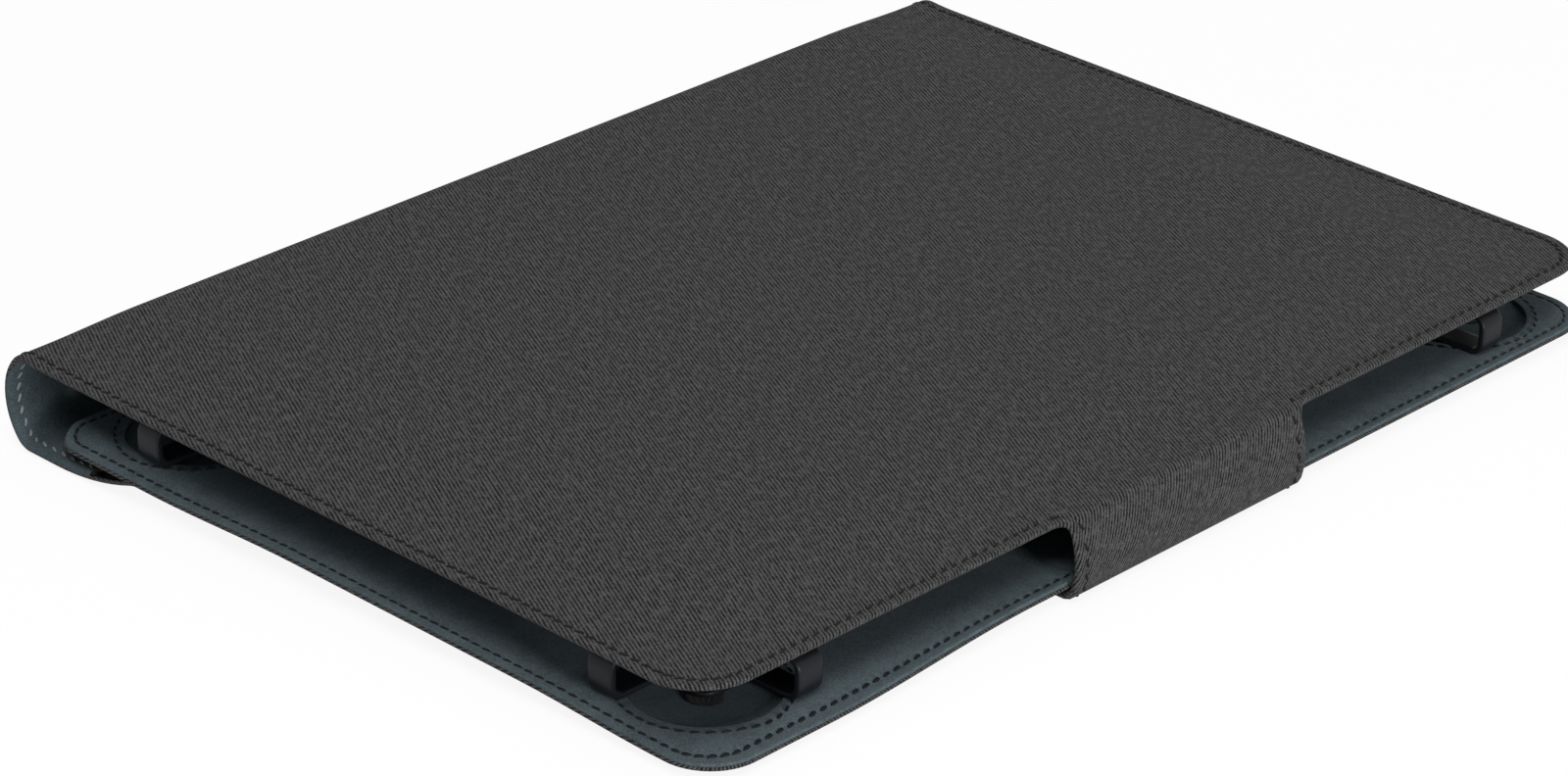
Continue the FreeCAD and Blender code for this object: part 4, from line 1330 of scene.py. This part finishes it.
def corner_grips():
    """The four moulded corner grips: two hooks on a square plate, over a round hub that the elastic holds."""
    ring = compass(np.linspace(0, 2 * np.pi, 33))
    for corner, away in CORNERS:
        node = "corner_grip_" + corner
        low, high = node_box(node)
        centre = np.where(away > 0, high[:2], low[:2]) - away * HOOK_REACH
        plate_low = high[2] - GRIP_HEIGHT
        along_x, along_y = away * (1, 0), away * (0, 1)
        grids = [
            hook_band(centre, along_x, along_y, plate_low, high[2]),
            hook_band(centre, along_y, along_x, plate_low, high[2]),
        ]
        ends = np.stack([centre + away * PLATE_OUT, centre - away * PLATE_IN])
        plate = np.append(ends.min(0), plate_low + PLATE_LOW), np.append(ends.max(0), plate_low + PLATE_HIGH)
        grids += board_grids(*plate, PLATE_CORNER, PLATE_CORNER)
        radius = np.array([0.0, HUB_RADIUS - HUB_EASE[0], HUB_RADIUS, HUB_RADIUS, 0.0])
        top = plate_low + HUB_SINK
        level = np.array([low[2], low[2], low[2] + HUB_EASE[1], top, top])
        flat = centre + ring[:, None, :] * radius[None, :, None]
        grids.append((lifted(flat, level), flat))
        piece = make_piece("grip_" + corner + "_moulding", grids, finishes["grip_plastic"])
        settle(piece, "grip_" + corner, node, "grip_plastic")


# Rubber under the keys


# Keys in each row that moves together
KEYS_IN_ROW = {
    "function_keys": 14, "number_keys": 12, "backspace_key": 1, "tab_key": 1, "upper_letter_keys": 11,
    "backslash_key": 1, "caps_key": 1, "home_letter_keys": 10, "enter_key": 1, "left_shift_key": 1,
    "lower_letter_keys": 10, "right_shift_key": 1, "left_modifier_keys": 4, "space_bar": 1,
    "right_modifier_keys": 2, "arrow_left_key": 1, "arrow_up_key": 1, "arrow_down_key": 1,
    "arrow_right_key": 1,
}
FLANGE_GAP = 1.2
DOME_HEIGHT = 0.8
DOME_PRESSED = 0.25
DOME_MAT_CORNER = 4.8
# A dome's section from the middle of its tip to the middle of its foot: radius, and share of the height
DOME_SECTION = np.array([[0, 1.0], [1.7, 1.0], [2.1, 0.9], [2.6, 0.3], [3.0, 0.02], [0, 0.02]])


def dome_grids(row, level):
    """One round dome below each key of a row: the dome's section turned about the key's middle."""
    low, high = node_box(row)
    pitch = (high[0] - low[0] + FLANGE_GAP) / KEYS_IN_ROW[row]
    turn = np.linspace(0, 2 * np.pi, 13)[:, None]
    radius, height = (DOME_SECTION * (1, DOME_HEIGHT)).T
    grids = []
    for number in range(KEYS_IN_ROW[row]):
        x = low[0] - FLANGE_GAP / 2 + (number + 0.5) * pitch + radius * np.cos(turn)
        y = (low[1] + high[1]) / 2 + radius * np.sin(turn)
        flat = np.stack([x, y], -1)
        grids.append((lifted(flat, level - height), flat))
    return grids


def rubber_domes():
    """The keys' rubber: a thin flat mat, and rows of domes that flatten as their keys are pressed."""
    low, high = node_box("dome_sheet")
    low[2] += DOME_HEIGHT
    grids = board_grids(low, high, DOME_MAT_CORNER, DOME_MAT_CORNER)
    settle(make_piece("dome_mat", grids, finishes["silicone"]), "cover", "dome_sheet", "silicone")
    for row in KEYS_IN_ROW:
        domes = make_piece(row + "_domes", dome_grids(row, low[2]), finishes["silicone"])
        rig.ride(domes, "cover")
        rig.slot(domes, "silicone")
        foot = (0.0, 0.0, low[2] * MM)
        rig.squash(domes, row + "_press", axis=(0, 0, 1), anchor=foot, keep=DOME_PRESSED)


# Stitching


# Thinner threads, and where the flap's rows stop short of its end, outside and inside
TAB_THICK, PANEL_THICK = 0.28, 0.25
PANEL_SLANT = 8.0
RING_DEPTH = 0.05
FLAP_SHORT, FLAP_INNER_SHORT = 6.0, 9.0


def sewn(edge, place, inset=STITCH_INSET, first=0.0, last=None, depth=STITCH_GROOVE):
    """A row for stitch_row: an outline, the stretch that is sewn, and the line's inset, place and depth."""
    return edge, first, edge.length if last is None else last, inset, place, depth


def stitch_row(name, rows, material, slant=STITCH_SLANT, thick=STITCH_THICK):
    """Rows of stitches as one mesh: short spindles along an outline, arched, their ends sunk in the cloth."""
    share = np.linspace(0, 1, 7)
    angle = np.linspace(0, 2 * np.pi, 7)
    tilt = math.radians(slant)
    swell = (thick * np.sqrt(np.clip(1 - (2 * share - 1) ** 4, 0, 1)))[:, None]
    arch = STITCH_ARCH * (1 - (2 * share - 1) ** 2) - STITCH_ARCH / 2
    reach = ((share - 0.5) * STITCH_LENGTH)[None, :, None, None]
    grids = []
    for edge, first, last, inset, place, depth in rows:
        count = max(int((last - first) / STITCH_PITCH), 1)
        points, inward = edge.at(first + (np.arange(count) + 0.5) * (last - first) / count)
        along = np.stack([inward[:, 1], -inward[:, 0]], -1)
        lay = along * math.cos(tilt) + inward * math.sin(tilt)
        out = inward * math.cos(tilt) - along * math.sin(tilt)
        flat = (
            (points + inward * inset)[:, None, None, :]
            + lay[:, None, None, :] * reach
            + out[:, None, None, :] * (swell * np.cos(angle))[None, :, :, None]
        )
        rise = np.broadcast_to(arch[:, None] + swell * np.sin(angle) - depth, flat.shape[:3])
        shaped = place(flat.reshape(-1, *flat.shape[2:]), rise.reshape(-1, rise.shape[2]))
        grids += list(zip(shaped.reshape(*flat.shape[:3], 3), flat))
    return make_piece(name, grids, material)


def stitching():
    """All the rows of stitches, each riding with the cloth that it sews."""
    cover_rows = [sewn(cover_edge(side), on_cover) for side in SIDES]
    strap_rows = [sewn(strap_edge(side), on_strap) for side in SIDES]
    tab_rows = [sewn(tab_edge(side), on_strap) for side in SIDES]
    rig.ride(stitch_row("cover_stitches", cover_rows, dark_thread), "cover")
    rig.blend(stitch_row("strap_stitches", strap_rows, dark_thread), "cover", "strap", **STRAP_TURN)
    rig.blend(stitch_row("tab_stitches", tab_rows, dark_thread, thick=TAB_THICK), "strap", "tab", **TAB_TURN)

    ends = [end_edge(side, BACK_LINE, FLAP_END) for side in SIDES]
    seam, stop = SPINE_SEAM - BACK_LINE, FLAP_END - BACK_LINE - FLAP_SHORT
    spine_rows = [sewn(edge, on_spine, last=seam) for edge in ends]
    flap_rows = [sewn(edge, on_spine, first=seam, last=stop) for edge in ends]
    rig.blend(stitch_row("spine_stitches", spine_rows, dark_thread), "cover", "spine", **COVER_TURN)
    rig.blend(stitch_row("flap_stitches", flap_rows, dark_thread), "spine", "holder", **FLAP_TURN)

    on_panel = raised(lining_high[2])
    rings = [circle(place, CUTOUT_RADIUS + RING_STITCH) for place in CUTOUT_PLACES]
    panel_rows = [sewn(panel_edge(side, SUEDE_INSET), on_panel, PANEL_STITCH) for side in SIDES]
    panel_rows += [sewn(ring, on_panel, 0.0, depth=RING_DEPTH) for ring in rings]
    under_rows = [sewn(panel_edge(side), under_panel) for side in SIDES]
    for name, rows, thread in (
        ("panel_stitches", panel_rows, lining_thread), ("panel_under_stitches", under_rows, dark_thread)
    ):
        piece = stitch_row(name, rows, thread, PANEL_SLANT, PANEL_THICK)
        sag(piece)
        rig.ride(piece, "holder")

    inside_cover = [sewn(cover_edge(side), under_cover) for side in SIDES]
    inside_spine = [sewn(edge, in_spine, last=seam) for edge in ends]
    inside_flap = [sewn(edge, in_spine, first=seam, last=stop - FLAP_INNER_SHORT) for edge in ends]
    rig.ride(stitch_row("cover_inner_stitches", inside_cover, grey_thread), "cover")
    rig.blend(stitch_row("spine_inner_stitches", inside_spine, grey_thread), "cover", "spine", **COVER_TURN)
    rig.blend(stitch_row("flap_inner_stitches", inside_flap, grey_thread), "spine", "holder", **FLAP_TURN)


# Studio


# Places in y and z where the closed case stands, how white the floor shows, and how much the surround lights
SPINE_FOOT, STRAP_FOOT = np.array([78.65, -0.25]), np.array([-91.8, 3.0])
FLOOR_REACH = 2600
FLOOR_WHITE = 0.9
SURROUND_LIGHT = 0.21


def seen_directly(tree):
    """A socket that is 1 for rays from the camera, a reflection or glass, and 0 for rays that only light."""
    path = tree.nodes.new("ShaderNodeLightPath")
    direct = path.outputs["Is Camera Ray"]
    for ray in ("Is Glossy Ray", "Is Transmission Ray"):
        either = tree.nodes.new("ShaderNodeMath")
        either.operation = "MAXIMUM"
        tree.links.new(direct, either.inputs[0])
        tree.links.new(path.outputs[ray], either.inputs[1])
        direct = either.outputs[0]
    return direct


def floor():
    """A white floor tilted to the case's two feet; it shows white and takes shadows."""
    finish = Finish("floor", Base_Color=(0.92, 0.92, 0.92, 1.0), Roughness=0.9, Specular_IOR_Level=0.1)
    white = finish.node("ShaderNodeEmission", {"Color": (1, 1, 1, 1), "Strength": 1.0})
    seen = Value(finish, seen_directly(finish.tree)) * FLOOR_WHITE
    sockets = {0: seen, 1: finish.shader.outputs[0], 2: white.outputs[0]}
    mix = finish.node("ShaderNodeMixShader", sockets)
    finish.tree.links.new(mix.outputs[0], finish.tree.nodes["Material Output"].inputs["Surface"])
    run, rise = STRAP_FOOT - SPINE_FOOT
    reach = np.linspace(-1, 1, 21) * FLOOR_REACH
    flat = np.stack(np.meshgrid(reach, reach, indexing="ij"), -1)
    grid = lifted(flat, SPINE_FOOT[1] + (flat[..., 1] - SPINE_FOOT[0]) * (rise / run))
    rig.stage(make_piece("floor", [(grid, flat)], finish.material, facing=(0, 0, 1)))


def surround():
    """A white world that shows at full strength and lights at less."""
    world = bpy.data.worlds.new("studio")
    bpy.context.scene.world = world
    world.use_nodes = True
    nodes, links = world.node_tree.nodes, world.node_tree.links
    strength = nodes.new("ShaderNodeMapRange")
    strength.inputs["To Min"].default_value = SURROUND_LIGHT
    strength.inputs["To Max"].default_value = 1.0
    links.new(seen_directly(world.node_tree), strength.inputs["Value"])
    links.new(strength.outputs["Result"], nodes["Background"].inputs["Strength"])
    nodes["Background"].inputs["Color"].default_value = (1, 1, 1, 1)


def lamps():
    """Three soft lamps that look at the case's middle: name, place, size and power."""
    for name, place, size, power in (
        ("overhead", (-0.10, 0.10, 1.5), 1.6, 11.0),
        ("near_side", (-0.85, -0.85, 1.70), 0.8, 20.0),
        ("front_low", (-0.30, -1.60, 0.26), 0.4, 17.0),
    ):
        lamp = bpy.data.lights.new(name, "AREA")
        lamp.size = size
        lamp.energy = power
        holder = bpy.data.objects.new(name, lamp)
        holder.location = place
        holder.rotation_mode = "QUATERNION"
        holder.rotation_quaternion = holder.location.copy().to_track_quat("Z", "Y")
        bpy.context.scene.collection.objects.link(holder)


def photo_camera():
    """The camera, where the photo's vanishing directions put it."""
    camera = bpy.data.cameras.new("camera")
    camera.lens = 121.5
    camera.sensor_width = 36.0
    camera.sensor_fit = "HORIZONTAL"
    camera.clip_end = 20.0
    eye = bpy.data.objects.new("camera", camera)
    eye.location = (-0.67404, -0.63422, 0.46760)
    eye.rotation_euler = [math.radians(turn) for turn in (63.2528, -0.8153, -45.8579)]
    bpy.context.scene.collection.objects.link(eye)
    bpy.context.scene.camera = eye
    bpy.context.scene.view_settings.view_transform = "Standard"


finish_rigid_nodes()
cover_cloth()
cover_suede()
strap_pieces()
spine_pieces()
panel_cloth()
panel_suede()
recess_suede()
inner_boards()
flap_stiffener()
panel_stiffener()
elastic_bands()
corner_grips()
rubber_domes()
stitching()
floor()
surround()
lamps()
photo_camera()

with open("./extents.json", "w") as sizes:
    boxes = {"cad": cad_box, "visual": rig.bounds()}
    json.dump({name: [list(map(float, corner)) for corner in box] for name, box in boxes.items()}, sizes)
